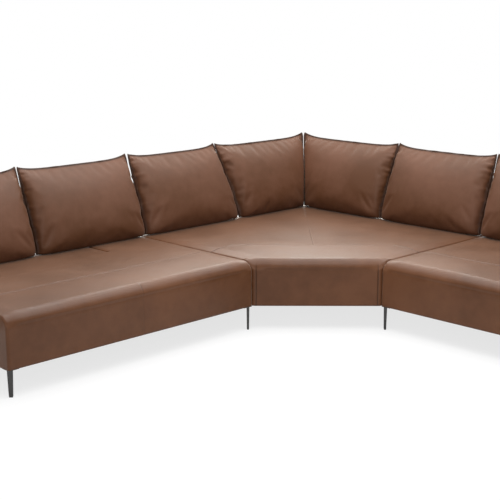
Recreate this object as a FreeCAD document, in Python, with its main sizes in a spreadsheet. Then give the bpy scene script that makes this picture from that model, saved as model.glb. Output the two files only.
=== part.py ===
import FreeCAD, Part
import Sketcher
import math
import os
import re

# Corner sofa: two two-seat modules and a corner module in leather, on thin metal legs, with eight
# free-standing back cushions. The four backs of the two-seat modules slide to change the seat depth.
# World frame: +Z up, the right wing runs along +X with its back at +Y, the left wing runs along -Y
# with its back at -X. The pieces are worked out about the apex, where the two lines of cushion feet
# meet, and are then placed so that the origin lies under the middle of the sofa's box.

doc = FreeCAD.newDocument("corner_sofa")
Vec = FreeCAD.Vector
UP = Vec(0, 0, 1)

# Driving dimensions, in millimetres and degrees
DIMENSIONS = (
    ("seat_height", 420, "floor to the top of the seat"),
    ("leg_height", 145, "floor to the underside of the seat body"),
    ("seat_depth", 985, "front of the seat to the foot of the back cushion"),
    ("rear_margin", 100, "seat behind the foot of the back cushion"),
    ("module_width", 1690, "two-seat module, along its front"),
    ("corner_wing", 1525, "corner module along each line of cushion feet"),
    ("front_roll", 62, "radius of the seat's front top edge"),
    ("edge_roll", 14, "radius of the seat's other top edges"),
    ("cover_thick", 4, "leather with its wadding"),
    ("rail_thick", 28, "frame rails, across"),
    ("rail_height", 90, "frame rails, upright"),
    ("block_side", 70, "corner blocks of the frame"),
    ("block_tall", 45, "corner blocks of the frame"),
    ("batten_tall", 54, "battens under the slide runners"),
    ("bearer_thick", 28, "planks that carry the fixed backs"),
    ("bearer_wide", 102, "planks that carry the fixed backs"),
    ("strap_wide", 50, "seat webbing"),
    ("strap_thick", 2.5, "seat webbing"),
    ("strap_pitch", 118, "seat webbing, centre to centre"),
    ("strap_bite", 12, "webbing lying on the rail at each end"),
    ("strap_clear", 16, "between a webbing strap and a back's upright"),
    ("dust_thick", 1.5, "dust cloth under the frame"),
    ("lean_angle", 17, "backs, from the vertical, in degrees"),
    ("back_slope", 533, "back cushion along its lean"),
    ("foot_setback", 45, "middle of the back cushion behind its foot, at seat level"),
    ("crown_front", 100, "fullness of the cushion's front"),
    ("crown_rear", 72, "fullness of the cushion's rear"),
    ("flange_thick", 6, "sewn flange round the cushion"),
    ("side_draw", 16, "how far the cushion's sides are drawn in at mid height"),
    ("cushion_gap", 8, "between two neighbouring back cushions"),
    ("mitre_gap", 9, "each cushion beside the apex, from the mitre"),
    ("left_split", 638, "apex to the gap between the left wing's corner cushions, at the foot"),
    ("left_split_top", 732, "the same at the top"),
    ("right_split", 701, "apex to the gap between the right wing's corner cushions, at the foot"),
    ("right_split_top", 714, "the same at the top"),
    ("module_split", 825, "joint to the gap between a module's two cushions, at the foot"),
    ("module_split_top", 835, "the same at the top"),
    ("end_margin", 40, "free seat beside the last cushion of each wing"),
    ("soft_gap", 0.4, "free space at soft parts"),
    ("panel_thick", 18, "board inside each back"),
    ("panel_tall", 395, "board inside each back"),
    ("panel_raise", 18, "board above the seat, along the lean"),
    ("panel_inset", 105, "board inside the cushion's sides"),
    ("panel_round", 45, "rounding of the board's upper corners"),
    ("arm_inset", 450, "uprights of a two-seat module, from its ends"),
    ("blade_thick", 8, "upright of the back arm, across the slot"),
    ("blade_deep", 40, "upright of the back arm, along the slot"),
    ("blade_reach", 110, "upright inside the back, along the lean"),
    ("slot_side", 3, "free space beside the upright in the seat slot"),
    ("slot_end", 3, "free space past the upright at the slot's ends"),
    ("back_travel", 200, "slide of the two-seat modules' backs"),
    ("base_wide", 92, "base plate of the back arm"),
    ("base_deep", 100, "base plate of the back arm"),
    ("base_thick", 6, "base plate of the back arm"),
    ("base_gap", 2, "base plate to the frame's rear rail"),
    ("bolt_pitch", 60, "bolts of a fixed back's base plate, centre to centre"),
    ("bolt_radius", 4, "bolts of a fixed back's base plate"),
    ("bolt_head", 6.5, "radius of the bolts' heads"),
    ("holder_wide", 110, "steel plate on the rear of the board"),
    ("holder_thick", 5, "steel plate on the rear of the board"),
    ("holder_tall", 290, "steel plate on the rear of the board"),
    ("runner_wide", 16, "slide runner channel"),
    ("runner_tall", 26, "slide runner channel"),
    ("runner_wall", 2.5, "slide runner channel"),
    ("runner_play", 0.3, "free space round the carriage's shoes"),
    ("shoe_overlap", 6, "carriage's shoes under its base plate"),
    ("leg_broad", 27, "leg's broad side at the top"),
    ("leg_narrow", 17, "leg's narrow side at the top"),
    ("leg_foot_broad", 20, "leg's broad side at the foot"),
    ("leg_foot_narrow", 13, "leg's narrow side at the foot"),
    ("leg_inset", 20, "leg's middle inside the module's sides"),
    ("plate_inset", 34, "middle of the leg's mounting plate inside the module's sides"),
    ("leg_plate", 60, "leg's mounting plate, a square"),
    ("leg_plate_thick", 4, "leg's mounting plate"),
    ("glide_thick", 5, "plastic glide under each leg"),
    ("glide_lip", 1, "glide inside the leg's foot"),
    ("screw_pitch", 44, "leg screws, centre to centre across the plate"),
    ("screw_setback", 8, "leg screws inside the middle of the plate"),
    ("screw_radius", 2.5, "leg screw's shank"),
    ("screw_head", 4.5, "radius of a leg screw's head"),
    ("screw_head_tall", 2.4, "leg screw's head"),
    ("screw_bite", 26, "leg screw inside the wood"),
    ("hole_play", 0.3, "screw and bolt holes wider than their shanks, on the radius"),
    ("joiner_long", 130, "plate joining two modules, across the joint"),
    ("joiner_wide", 44, "plate joining two modules"),
    ("joiner_thick", 4, "plate joining two modules"),
    ("joiner_offset", 300, "joining plates from the seat's front and from its rear"),
)

sheet = doc.addObject("Spreadsheet::Sheet", "dims")
for row, (alias, value, note) in enumerate(DIMENSIONS, 1):
    sheet.set(f"A{row}", note)
    sheet.set(f"B{row}", str(value))
    sheet.setAlias(f"B{row}", alias)
doc.recompute()
ALIASES = {alias for alias, value, note in DIMENSIONS}


def size(alias):
    """A driving dimension as a number."""
    return float(getattr(sheet, alias))


def bound(text):
    """An expression of the sheet from a sum of its aliases."""
    return re.sub(r"[a-z_]+", lambda word: ("dims." if word[0] in ALIASES else "") + word[0], text)


def drive(obj, **sums):
    """Bind an object's properties to sums of the sheet's aliases."""
    for name, text in sums.items():
        obj.setExpression(name, bound(text))
    return obj


def block(name, long, wide, tall, x="0", y="0", z="0"):
    """A box of three sizes whose low corner lies at x, y, z, each a sum of aliases."""
    box = doc.addObject("Part::Box", name)
    for axis, text in zip("xyz", (x, y, z)):
        box.setExpression("Placement.Base." + axis, bound(text))
    return drive(box, Length=long, Width=wide, Height=tall)


def rod(name, radius, tall, z="0", spot=Vec()):
    """An upright cylinder over a spot in plan, its radius, length and level bound to the sheet."""
    cylinder = doc.addObject("Part::Cylinder", name)
    cylinder.Placement.Base = spot
    cylinder.setExpression("Placement.Base.z", bound(z))
    return drive(cylinder, Radius=radius, Height=tall)


def compound(name, members):
    """Loose solids that make one sub-part."""
    joined = doc.addObject("Part::Compound", name)
    joined.Links = members
    return joined


def fused(name, members):
    """Solids joined into one."""
    joined = doc.addObject("Part::MultiFuse", name)
    joined.Shapes = members
    return joined


def cut(name, base, tools):
    """A solid less its tools."""
    less = doc.addObject("Part::Cut", name)
    less.Base = base
    less.Tool = tools[0] if len(tools) == 1 else fused(name + "_tools", tools)
    return less


def formed(name, shape):
    """A solid whose form is worked out by a function, where no primitive fits."""
    feature = doc.addObject("Part::Feature", name)
    feature.Shape = shape
    return feature


subparts = []


def keep(name, obj, placement):
    """Make an object a sub-part, named after its node and put at its place in the sofa."""
    obj.Label = name
    obj.Placement = placement.multiply(obj.Placement)
    subparts.append(obj)


# Levels and lines that several pieces share, as numbers and as sums for the sheet
body_low = size("leg_height")
seat_top = size("seat_height")
frame_low = body_low + size("dust_thick")
frame_high = frame_low + size("rail_height")
web_high = frame_high + 2 * size("strap_thick")
seat_front = size("seat_depth")
seat_rear = -size("rear_margin")
wing = size("corner_wing")
module = size("module_width")
cover = size("cover_thick")
rail = size("rail_thick")
lean = math.radians(size("lean_angle"))
blade_mid = -size("foot_setback")
half_blade = size("blade_deep") / 2
BATTEN_TOP = "leg_height + dust_thick + batten_tall"
RAIL_FACE = "cover_thick + rail_thick - rear_margin"
BASE_REAR = RAIL_FACE + " + base_gap"
RUNNER_LONG = "base_gap + base_deep + back_travel + base_gap"


def tilted(across, ahead, along):
    """A point of a back, given square to its lean, in that back's upright frame."""
    y = blade_mid + ahead * math.cos(lean) - along * math.sin(lean)
    z = seat_top + ahead * math.sin(lean) + along * math.cos(lean)
    return Vec(across, y, z)


TILT = FreeCAD.Placement(tilted(0, 0, 0), FreeCAD.Rotation(Vec(1, 0, 0), size("lean_angle")))

# Back cushion, from its foot to its top: level along the lean, fullness, and how far drawn in
STATIONS = (
    (-0.08, 0.50, 0.2),
    (0.06, 0.80, 0.5),
    (0.30, 1.00, 1.0),
    (0.58, 0.90, 1.0),
    (0.82, 0.52, 0.5),
    (1.00, 0.07, 0.0),
)

# Plan outlines, anticlockwise
def two_seat_plan(inset):
    """The two-seat module, x from 0 across and y from its rear to its front."""
    low, high, rear, front = inset, module - inset, seat_rear + inset, seat_front - inset
    return [(low, rear), (high, rear), (high, front), (low, front)]


def corner_plan(inset):
    """The corner module about the apex: two rear sides, two joints and the slanting front."""
    slant = inset * math.tan(math.radians(22.5))
    rear, end, front = seat_rear + inset, wing - inset, seat_front - slant
    return [(rear, -end), (front, -end), (end, -front), (end, -rear), (rear, -rear)]


def sides_of(plan):
    """Each side of a closed outline as its two ends."""
    return list(zip(plan, plan[1:] + plan[:1]))


def prism(plan, low, high):
    """A plan raised between two heights."""
    corners = [Vec(x, y, low) for x, y in plan]
    return Part.Face(Part.makePolygon(corners + corners[:1])).extrude(Vec(0, 0, high - low))


def box_at(x_low, x_high, y_low, y_high, z_low, z_high):
    """A plain solid box between bounds, for cutting."""
    return Part.makeBox(x_high - x_low, y_high - y_low, z_high - z_low, Vec(x_low, y_low, z_low))


def top_edges(body, ends, high):
    """The straight edges of a body's top that lie on one side of its plan."""
    (x0, y0), (x1, y1) = ends
    length = math.hypot(x1 - x0, y1 - y0)
    found = []
    for edge in body.Edges:
        middle = edge.CenterOfMass
        aside = (middle.x - x0) * (y1 - y0) - (middle.y - y0) * (x1 - x0)
        if abs(middle.z - high) < 0.01 and abs(aside) / length < 0.01:
            found.append(edge)
    return found


def rounded_block(plan, front, low, high, front_radius, side_radius):
    """A plan raised, with a large roll along its front top edge and a small one along the others."""
    sides = sides_of(plan)
    body = prism(plan, low, high)
    body = body.makeFillet(front_radius, top_edges(body, sides[front], high))
    others = [edge for side in sides if side != sides[front] for edge in top_edges(body, side, high)]
    return body.makeFillet(side_radius, others)


def seat_body(plan_of, front, slots):
    """A seat's leather cover, open below, the foam down to its webbing, and the space inside it."""
    roll, edge = size("front_roll"), size("edge_roll")
    outer = rounded_block(plan_of(0), front, body_low, seat_top, roll, edge)
    inner = rounded_block(plan_of(cover), front, body_low - 1, seat_top - cover, roll - cover, edge - cover)
    foam = inner.cut(prism(plan_of(0), body_low - 1, web_high))
    return outer.cut([inner] + slots), foam.cut(slots), inner


def inner_plan(plan):
    """The inside of a frame's ring of rails."""
    lines = []
    for (x0, y0), (x1, y1) in sides_of(plan):
        length = math.hypot(x1 - x0, y1 - y0)
        along = ((x1 - x0) / length, (y1 - y0) / length)
        lines.append((x0 - along[1] * rail, y0 + along[0] * rail) + along)
    corners = []
    for (ax, ay, au, av), (bx, by, bu, bv) in zip(lines[-1:] + lines[:-1], lines):
        step = ((bx - ax) * bv - (by - ay) * bu) / (au * bv - av * bu)
        corners.append((ax + au * step, ay + av * step))
    return corners


def rail_ring(plan):
    """The frame's outer rails, mitred where they meet, one solid for each side of the plan."""
    inner = inner_plan(plan)
    return [
        prism([a, b, d, c], frame_low, frame_high)
        for (a, b), (c, d) in zip(sides_of(plan), sides_of(inner))
    ]


def corner_block(spot, toward_x, toward_y):
    """A block glued in a frame's corner, which takes the leg's screws."""
    side = size("block_side")
    x_low = spot[0] if toward_x > 0 else spot[0] - side
    y_low = spot[1] if toward_y > 0 else spot[1] - side
    return box_at(x_low, x_low + side, y_low, y_low + side, frame_low, frame_low + size("block_tall"))


def strap_lines(low, high, avoid):
    """Middles of the straps between two rails, clear of the backs' uprights."""
    clear = size("strap_wide") / 2 + size("blade_thick") / 2 + size("strap_clear")
    count = int((high - low) / size("strap_pitch"))
    lines = [low + (high - low) * (i + 0.5) / count for i in range(count)]
    return [line for line in lines if all(abs(line - spot) > clear for spot in avoid)]


def webbing(plan_of, lines_x, lines_y, y_limits, x_limits):
    """Straps along y over lines_x, and straps along x over lines_y lying on them."""
    thick, half = size("strap_thick"), size("strap_wide") / 2
    reach = prism(plan_of(cover + rail - size("strap_bite")), frame_high, frame_high + 2 * thick)
    straps = [
        box_at(x - half, x + half, *y_limits, frame_high, frame_high + thick).common(reach)
        for x in lines_x
    ]
    straps += [
        box_at(*x_limits, y - half, y + half, frame_high + thick, frame_high + 2 * thick).common(reach)
        for y in lines_y
    ]
    return Part.makeCompound(solids_of(straps))


def slot_tool(spot, travel):
    """The slot that a back's upright stands in, through the foam and the cover."""
    side = size("blade_thick") / 2 + size("slot_side")
    reach = half_blade + size("slot_end")
    return box_at(
        spot - side, spot + side, blade_mid - reach, blade_mid + reach + travel, web_high - 1, seat_top + 1
    )


def solids_of(shapes):
    """All the solids of several shapes in one list."""
    return [solid for shape in shapes for solid in shape.Solids]


def turned(shape, placement):
    """A copy of a shape moved by a placement."""
    moved = shape.copy()
    moved.Placement = placement.multiply(moved.Placement)
    return moved


# Backs
def edges_of(side):
    """The gaps between one wing's cushions, at the foot and at the top, from the apex outwards."""
    slope_back = size("back_slope") * math.sin(lean)
    last = wing + module - size("end_margin") + size("cushion_gap") / 2
    foot = [blade_mid, size(side + "_split"), wing, wing + size("module_split"), last]
    top = [blade_mid - slope_back, size(side + "_split_top"), wing, wing + size("module_split_top"), last]
    return foot, top


# From the apex outwards: name, wing, and the near and far edges at the foot and at the top
backs = []
for side in ("left", "right"):
    foot, top = edges_of(side)
    for i, place in enumerate(("corner_{}_inner", "corner_{}_outer", "{}_inner", "{}_end")):
        near_gap = size("mitre_gap") * math.sqrt(2) if i == 0 else size("cushion_gap") / 2
        far_gap = size("cushion_gap") / 2
        backs.append(
            {
                "name": place.format(side),
                "side": side,
                "slides": i > 1,
                "foot": (foot[i] + near_gap, foot[i + 1] - far_gap),
                "top": (top[i] + near_gap, top[i + 1] - far_gap),
            }
        )
for back in backs:
    back["middle"] = sum(back["foot"]) / 2
    near_half = back["middle"] < wing + module / 2
    on_module = wing + size("arm_inset") if near_half else wing + module - size("arm_inset")
    back["arm"] = on_module if back["slides"] else back["middle"]


# Back cushions
def cushion_section(near, far, ahead, behind, along):
    """One closed outline across a cushion: two crowned arcs joined by the flange at each side."""
    half = size("flange_thick") / 2
    middle = (near + far) / 2
    points = [
        tilted(near, half, along),
        tilted(middle, half + ahead, along),
        tilted(far, half, along),
        tilted(far, -half, along),
        tilted(middle, -half - behind, along),
        tilted(near, -half, along),
    ]
    return Part.Wire(
        [
            Part.Arc(points[0], points[1], points[2]).toShape(),
            Part.LineSegment(points[2], points[3]).toShape(),
            Part.Arc(points[3], points[4], points[5]).toShape(),
            Part.LineSegment(points[5], points[0]).toShape(),
        ]
    )


def lean_box(wide, deep_low, deep_high, low, high, grow=0.0):
    """A box square to the lean, centred across, in a back's upright frame."""
    box = box_at(-wide / 2 - grow, wide / 2 + grow, deep_low - grow, deep_high + grow, low - grow, high + grow)
    return turned(box, TILT)


def cushion_solid(back, outward):
    """Crowned cushion with a knife edge, flat where it stands and open below for its board."""
    sections = []
    for level, fullness, drawn in STATIONS:
        edges = []
        for end, inward in ((0, 1), (1, -1)):
            foot, top = back["foot"][end], back["top"][end]
            edge = foot + (top - foot) * level + inward * drawn * size("side_draw")
            edges.append(outward * (edge - back["middle"]))
        sections.append(
            cushion_section(
                *edges,
                fullness * size("crown_front"),
                fullness * size("crown_rear"),
                level * size("back_slope"),
            )
        )
    body = Part.makeLoft(sections, True, False)
    seat_level = seat_top + size("soft_gap")
    below = box_at(-module, module, -module, module, 0, seat_level)
    gap = size("soft_gap")
    half_panel = size("panel_thick") / 2
    foot_of_pocket = -2 * half_blade
    board_top = size("panel_raise") + size("panel_tall")
    holder_top = size("panel_raise") + size("holder_tall")
    arm = [
        lean_box(
            size("holder_wide"), -half_panel - size("holder_thick"), 0, foot_of_pocket, holder_top, gap
        ),
        lean_box(size("blade_thick"), -half_blade, half_blade, foot_of_pocket, size("blade_reach"), gap),
    ]
    board = lean_box(board_width(back), -half_panel, half_panel, foot_of_pocket, board_top, gap)
    aside = FreeCAD.Placement(Vec(outward * (back["arm"] - back["middle"]), 0, 0), FreeCAD.Rotation())
    return body.cut([below, board] + [turned(piece, aside) for piece in arm])


def board_width(back):
    """The board inside a back, which ends clear of the cushion's sides."""
    return back["foot"][1] - back["foot"][0] - 2 * size("panel_inset")


# The cushions reach farthest back and the modules' ends farthest out, and the origin is midway
rear_reach = -min(cushion_solid(back, 1).optimalBoundingBox(False, False).YMin for back in backs)
centre = (wing + module - rear_reach) / 2
TO_ORIGIN = Vec(-centre, centre, 0)
AT_APEX = FreeCAD.Placement(TO_ORIGIN, FreeCAD.Rotation())


def on_wing(side, distance):
    """Placement of a frame that faces the sitter, x = 0 lying this far from the apex along a wing."""
    if side == "left":
        return FreeCAD.Placement(Vec(0, -distance, 0) + TO_ORIGIN, FreeCAD.Rotation(UP, -90))
    return FreeCAD.Placement(Vec(distance, 0, 0) + TO_ORIGIN, FreeCAD.Rotation(UP, 180))


# Seat of a two-seat module
def two_seat_module(side):
    """Frame, runner battens, webbing, foam, cover and dust cloth, in the module's own frame."""
    at = on_wing(side, wing if side == "left" else wing + module)
    spots = [
        back["arm"] - wing if side == "left" else wing + module - back["arm"]
        for back in backs
        if back["side"] == side and back["slides"]
    ]
    inner = inner_plan(two_seat_plan(cover))
    (x_low, y_low), (x_high, y_high) = inner[0], inner[2]
    middle_low, middle_high = module / 2 - rail / 2, module / 2 + rail / 2
    batten_high = frame_low + size("batten_tall")
    runner_front = y_low + 2 * size("base_gap") + size("base_deep") + size("back_travel")
    rails = rail_ring(two_seat_plan(cover))
    rails.append(box_at(middle_low, middle_high, y_low, y_high, frame_low, frame_high))
    for start, end in ((x_low, middle_low), (middle_high, x_high)):
        for y in (y_low, runner_front - rail):
            rails.append(box_at(start, end, y, y + rail, frame_low, batten_high))
    blocks = [
        corner_block(inner[0], 1, 1),
        corner_block(inner[1], -1, 1),
        corner_block(inner[2], -1, -1),
        corner_block(inner[3], 1, -1),
    ]
    battens = Part.makeCompound(rails[5:])
    slots = [slot_tool(spot, size("back_travel")) for spot in spots]
    leather, foam, inside = seat_body(two_seat_plan, 2, slots)
    wood = [piece.common(inside) for piece in rails] + [piece.cut(battens).common(inside) for piece in blocks]
    keep(f"{side}_frame", formed(f"{side}_frame", Part.makeCompound(solids_of(wood))), at)

    lines_x = strap_lines(x_low, x_high, spots)
    lines_y = strap_lines(runner_front, y_high, [])
    straps = webbing(two_seat_plan, lines_x, lines_y, (seat_rear, seat_front), (0, module))
    keep(f"{side}_webbing", formed(f"{side}_webbing", straps), at)

    keep(f"{side}_seat_cover", formed(f"{side}_seat_cover", leather), at)
    keep(f"{side}_seat_foam", formed(f"{side}_seat_foam", foam), at)

    cloth = prism(two_seat_plan(cover), body_low, frame_low).common(inside)
    keep(f"{side}_dust_cloth", formed(f"{side}_dust_cloth", cloth), at)


for side in ("left", "right"):
    two_seat_module(side)

# Seat of the corner module
corner_inside = inner_plan(corner_plan(cover))
bearer = size("bearer_wide")
bearer_high = frame_low + size("batten_tall")
bearer_low = bearer_high - size("bearer_thick")
rail_face = corner_inside[0][0]
left_bearer = box_at(rail_face, rail_face + bearer, corner_inside[0][1], -rail_face, bearer_low, bearer_high)
right_bearer = box_at(
    rail_face + bearer, corner_inside[3][0], -rail_face - bearer, -rail_face, bearer_low, bearer_high
)
diagonal = box_at(0, 2 * wing, -rail / 2, rail / 2, frame_low, frame_high)
diagonal = turned(diagonal, FreeCAD.Placement(Vec(rail_face, -rail_face, 0), FreeCAD.Rotation(UP, -45)))
diagonal = diagonal.common(prism(corner_inside, frame_low, frame_high)).cut([left_bearer, right_bearer])
corner_blocks = [
    corner_block(corner_inside[0], 1, 1),
    corner_block(corner_inside[3], -1, -1),
    corner_block(corner_inside[4], 1, -1).cut(diagonal),
]
fixed_left = [-back["middle"] for back in backs if back["side"] == "left" and not back["slides"]]
fixed_right = [back["middle"] for back in backs if back["side"] == "right" and not back["slides"]]
TO_LEFT = FreeCAD.Placement(Vec(), FreeCAD.Rotation(UP, -90))
TO_RIGHT = FreeCAD.Placement(Vec(), FreeCAD.Rotation(UP, 180))
corner_slots = [turned(slot_tool(-spot, 0), TO_LEFT) for spot in fixed_left]
corner_slots += [turned(slot_tool(-spot, 0), TO_RIGHT) for spot in fixed_right]
corner_leather, corner_foam, corner_space = seat_body(corner_plan, 1, corner_slots)
keep("corner_seat_cover", formed("corner_seat_cover", corner_leather), AT_APEX)
keep("corner_seat_foam", formed("corner_seat_foam", corner_foam), AT_APEX)

corner_wood = rail_ring(corner_plan(cover)) + [left_bearer, right_bearer, diagonal] + corner_blocks
corner_wood = [piece.common(corner_space) for piece in corner_wood]
keep("corner_frame", formed("corner_frame", Part.makeCompound(solids_of(corner_wood))), AT_APEX)

corner_straps = webbing(
    corner_plan,
    strap_lines(corner_inside[0][0] + bearer, corner_inside[3][0], fixed_right),
    strap_lines(corner_inside[0][1], corner_inside[4][1] - bearer, fixed_left),
    (-wing, wing),
    (-wing, wing),
)
keep("corner_webbing", formed("corner_webbing", corner_straps), AT_APEX)

corner_cloth = prism(corner_plan(cover), body_low, frame_low).common(corner_space)
keep("corner_dust_cloth", formed("corner_dust_cloth", corner_cloth), AT_APEX)


# Boards and arms of the backs
def back_board(back, outward):
    """Plywood board with rounded upper corners, notched over the arm's upright."""
    name = f"board_{back['name']}"
    half_panel = size("panel_thick") / 2
    panel = doc.addObject("Part::Box", name + "_blank")
    panel.Length = board_width(back)
    panel.Placement.Base.x = -board_width(back) / 2
    panel.setExpression("Placement.Base.y", bound("-panel_thick / 2"))
    panel.setExpression("Placement.Base.z", bound("panel_raise"))
    drive(panel, Width="panel_thick", Height="panel_tall")
    doc.recompute()
    rounded = doc.addObject("Part::Fillet", name + "_rounded")
    rounded.Base = panel
    top = size("panel_raise") + size("panel_tall")
    upper = [
        i + 1
        for i, edge in enumerate(panel.Shape.Edges)
        if abs(edge.CenterOfMass.z - top) < 0.01 and abs(edge.CenterOfMass.y) < half_panel / 2
    ]
    rounded.Edges = [(i, size("panel_round"), size("panel_round")) for i in upper]
    notch = block(
        name + "_notch",
        "blade_thick + 2 * soft_gap",
        "2 * panel_thick",
        "blade_reach + soft_gap",
        f"{outward * (back['arm'] - back['middle'])} - blade_thick / 2 - soft_gap",
        "-panel_thick",
        "0",
    )
    return cut(name, rounded, [notch])


def arm_pieces(name, base_z):
    """Base plate, upright and board holder of a back arm, to be joined."""
    base = block(
        name + "_base", "base_wide", "base_deep", "base_thick", "-base_wide / 2", BASE_REAR, base_z
    )
    upright = block(
        name + "_upright",
        "blade_thick",
        "blade_deep",
        f"seat_height - ({base_z})",
        "-blade_thick / 2",
        "-foot_setback - blade_deep / 2",
        base_z,
    )
    leaning = block(
        name + "_leaning", "blade_thick", "blade_deep", "blade_reach", "-blade_thick / 2", "-blade_deep / 2"
    )
    holder = block(
        name + "_holder",
        "holder_wide",
        "holder_thick",
        "holder_tall",
        "-holder_wide / 2",
        "-panel_thick / 2 - holder_thick",
        "panel_raise",
    )
    doc.recompute()
    for piece in (leaning, holder):
        piece.setExpression("Placement.Base.x", None)
        piece.setExpression("Placement.Base.y", None)
        piece.setExpression("Placement.Base.z", None)
        piece.Placement = TILT.multiply(piece.Placement)
    return [base, upright, leaning, holder]


def fixed_arm(name):
    """Arm bolted to the corner module's bearer."""
    body = fused(name + "_welded", arm_pieces(name, BATTEN_TOP))
    drills = [
        rod(
            f"{name}_hole_{i}",
            "bolt_radius + hole_play",
            "3 * base_thick",
            BATTEN_TOP + " - base_thick",
            Vec(*spot, 0),
        )
        for i, spot in enumerate(bolt_spots())
    ]
    return cut(name, body, drills)


def bolt_spots():
    """Bolts of a fixed arm's base plate, in plan."""
    y = seat_rear + cover + rail + size("base_gap") + size("base_deep") / 2
    half = size("bolt_pitch") / 2
    return [(x, y + step) for x in (-half, half) for step in (-half / 2, half / 2)]


def carriage(name):
    """Arm on a carriage, with a shoe at each side that runs in a channel."""
    pieces = arm_pieces(name, BATTEN_TOP + " + (runner_tall - base_thick) / 2")
    for i, sign in enumerate((-1, 1)):
        shoe_x = "base_wide / 2 - shoe_overlap" if sign > 0 else "-base_wide / 2 - runner_wide + runner_wall"
        pieces.append(
            block(
                f"{name}_shoe_{i}",
                "runner_wide - runner_wall + shoe_overlap",
                "base_deep",
                "runner_tall - 2 * runner_wall - 2 * runner_play",
                shoe_x,
                BASE_REAR,
                BATTEN_TOP + " + runner_wall + runner_play",
            )
        )
    return fused(name, pieces)


def runners(name):
    """The pair of steel channels that guide a carriage, open towards each other."""
    channels = []
    for i, sign in enumerate((-1, 1)):
        outer_x = "base_wide / 2 + runner_play" if sign > 0 else "-base_wide / 2 - runner_play - runner_wide"
        hollow_x = (
            "base_wide / 2 + runner_play - runner_wall"
            if sign > 0
            else "-base_wide / 2 - runner_play - runner_wide + runner_wall"
        )
        outer = block(
            f"{name}_outer_{i}", "runner_wide", RUNNER_LONG, "runner_tall", outer_x, RAIL_FACE, BATTEN_TOP
        )
        hollow = block(
            f"{name}_hollow_{i}",
            "runner_wide",
            RUNNER_LONG,
            "runner_tall - 2 * runner_wall",
            hollow_x,
            RAIL_FACE,
            BATTEN_TOP + " + runner_wall",
        )
        channels.append(cut(f"{name}_channel_{i}", outer, [hollow]))
    return compound(name, channels)


bolts = []
for back in backs:
    name, side = back["name"], back["side"]
    outward = 1 if side == "left" else -1
    at = on_wing(side, back["middle"])
    keep(f"cushion_{name}", formed(f"cushion_{name}", cushion_solid(back, outward)), at)
    keep(f"board_{name}", back_board(back, outward), at.multiply(TILT))
    at = on_wing(side, back["arm"])
    if back["slides"]:
        keep(f"carriage_{name}", carriage(f"carriage_{name}"), at)
        keep(f"runners_{name}", runners(f"runners_{name}"), at)
        continue
    keep(f"arm_{name}", fixed_arm(f"arm_{name}"), at)
    for i, spot in enumerate(bolt_spots()):
        shank_low = BATTEN_TOP + " - bearer_thick / 2"
        shank = rod(f"bolt_{name}_{i}_shank", "bolt_radius", "bearer_thick / 2 + base_thick", shank_low)
        head = rod(f"bolt_{name}_{i}_head", "bolt_head", "bolt_radius", BATTEN_TOP + " + base_thick")
        whole = fused(f"bolt_{name}_{i}", [shank, head])
        whole.Placement = at.multiply(FreeCAD.Placement(Vec(*spot, 0), FreeCAD.Rotation()))
        bolts.append(whole)
keep("arm_bolts", compound("arm_bolts", bolts), FreeCAD.Placement())


# Legs, each a tapered bar under a square plate, with a glide at its foot
def rectangle(body, name, wide, deep, level, turn=0, spot=("0", "0")):
    """A rectangle sketch about a spot in plan, at a level, its sides bound to the sheet."""
    sketch = body.newObject("Sketcher::SketchObject", name)
    plane = next(plane for plane in body.Origin.OriginFeatures if plane.Role == "XY_Plane")
    sketch.AttachmentSupport = [(plane, "")]
    sketch.MapMode = "FlatFace"
    sketch.AttachmentOffset = FreeCAD.Placement(Vec(), FreeCAD.Rotation(UP, turn))
    for axis, text in zip("xyz", spot + (level,)):
        sketch.setExpression("AttachmentOffset.Base." + axis, bound(text))
    corners = [Vec(-10, -5, 0), Vec(10, -5, 0), Vec(10, 5, 0), Vec(-10, 5, 0)]
    for start, end in sides_of(corners):
        sketch.addGeometry(Part.LineSegment(start, end), False)
    for i in range(4):
        sketch.addConstraint(Sketcher.Constraint("Coincident", i, 2, (i + 1) % 4, 1))
    for i, kind in ((0, "Horizontal"), (2, "Horizontal"), (1, "Vertical"), (3, "Vertical")):
        sketch.addConstraint(Sketcher.Constraint(kind, i))
    sketch.addConstraint(Sketcher.Constraint("Symmetric", 0, 1, 2, 1, -1, 1))
    across = sketch.addConstraint(Sketcher.Constraint("DistanceX", 0, 1, 0, 2, 20))
    along = sketch.addConstraint(Sketcher.Constraint("DistanceY", 1, 1, 1, 2, 10))
    sketch.setExpression(f"Constraints[{across}]", bound(wide))
    sketch.setExpression(f"Constraints[{along}]", bound(deep))
    return sketch


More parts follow.
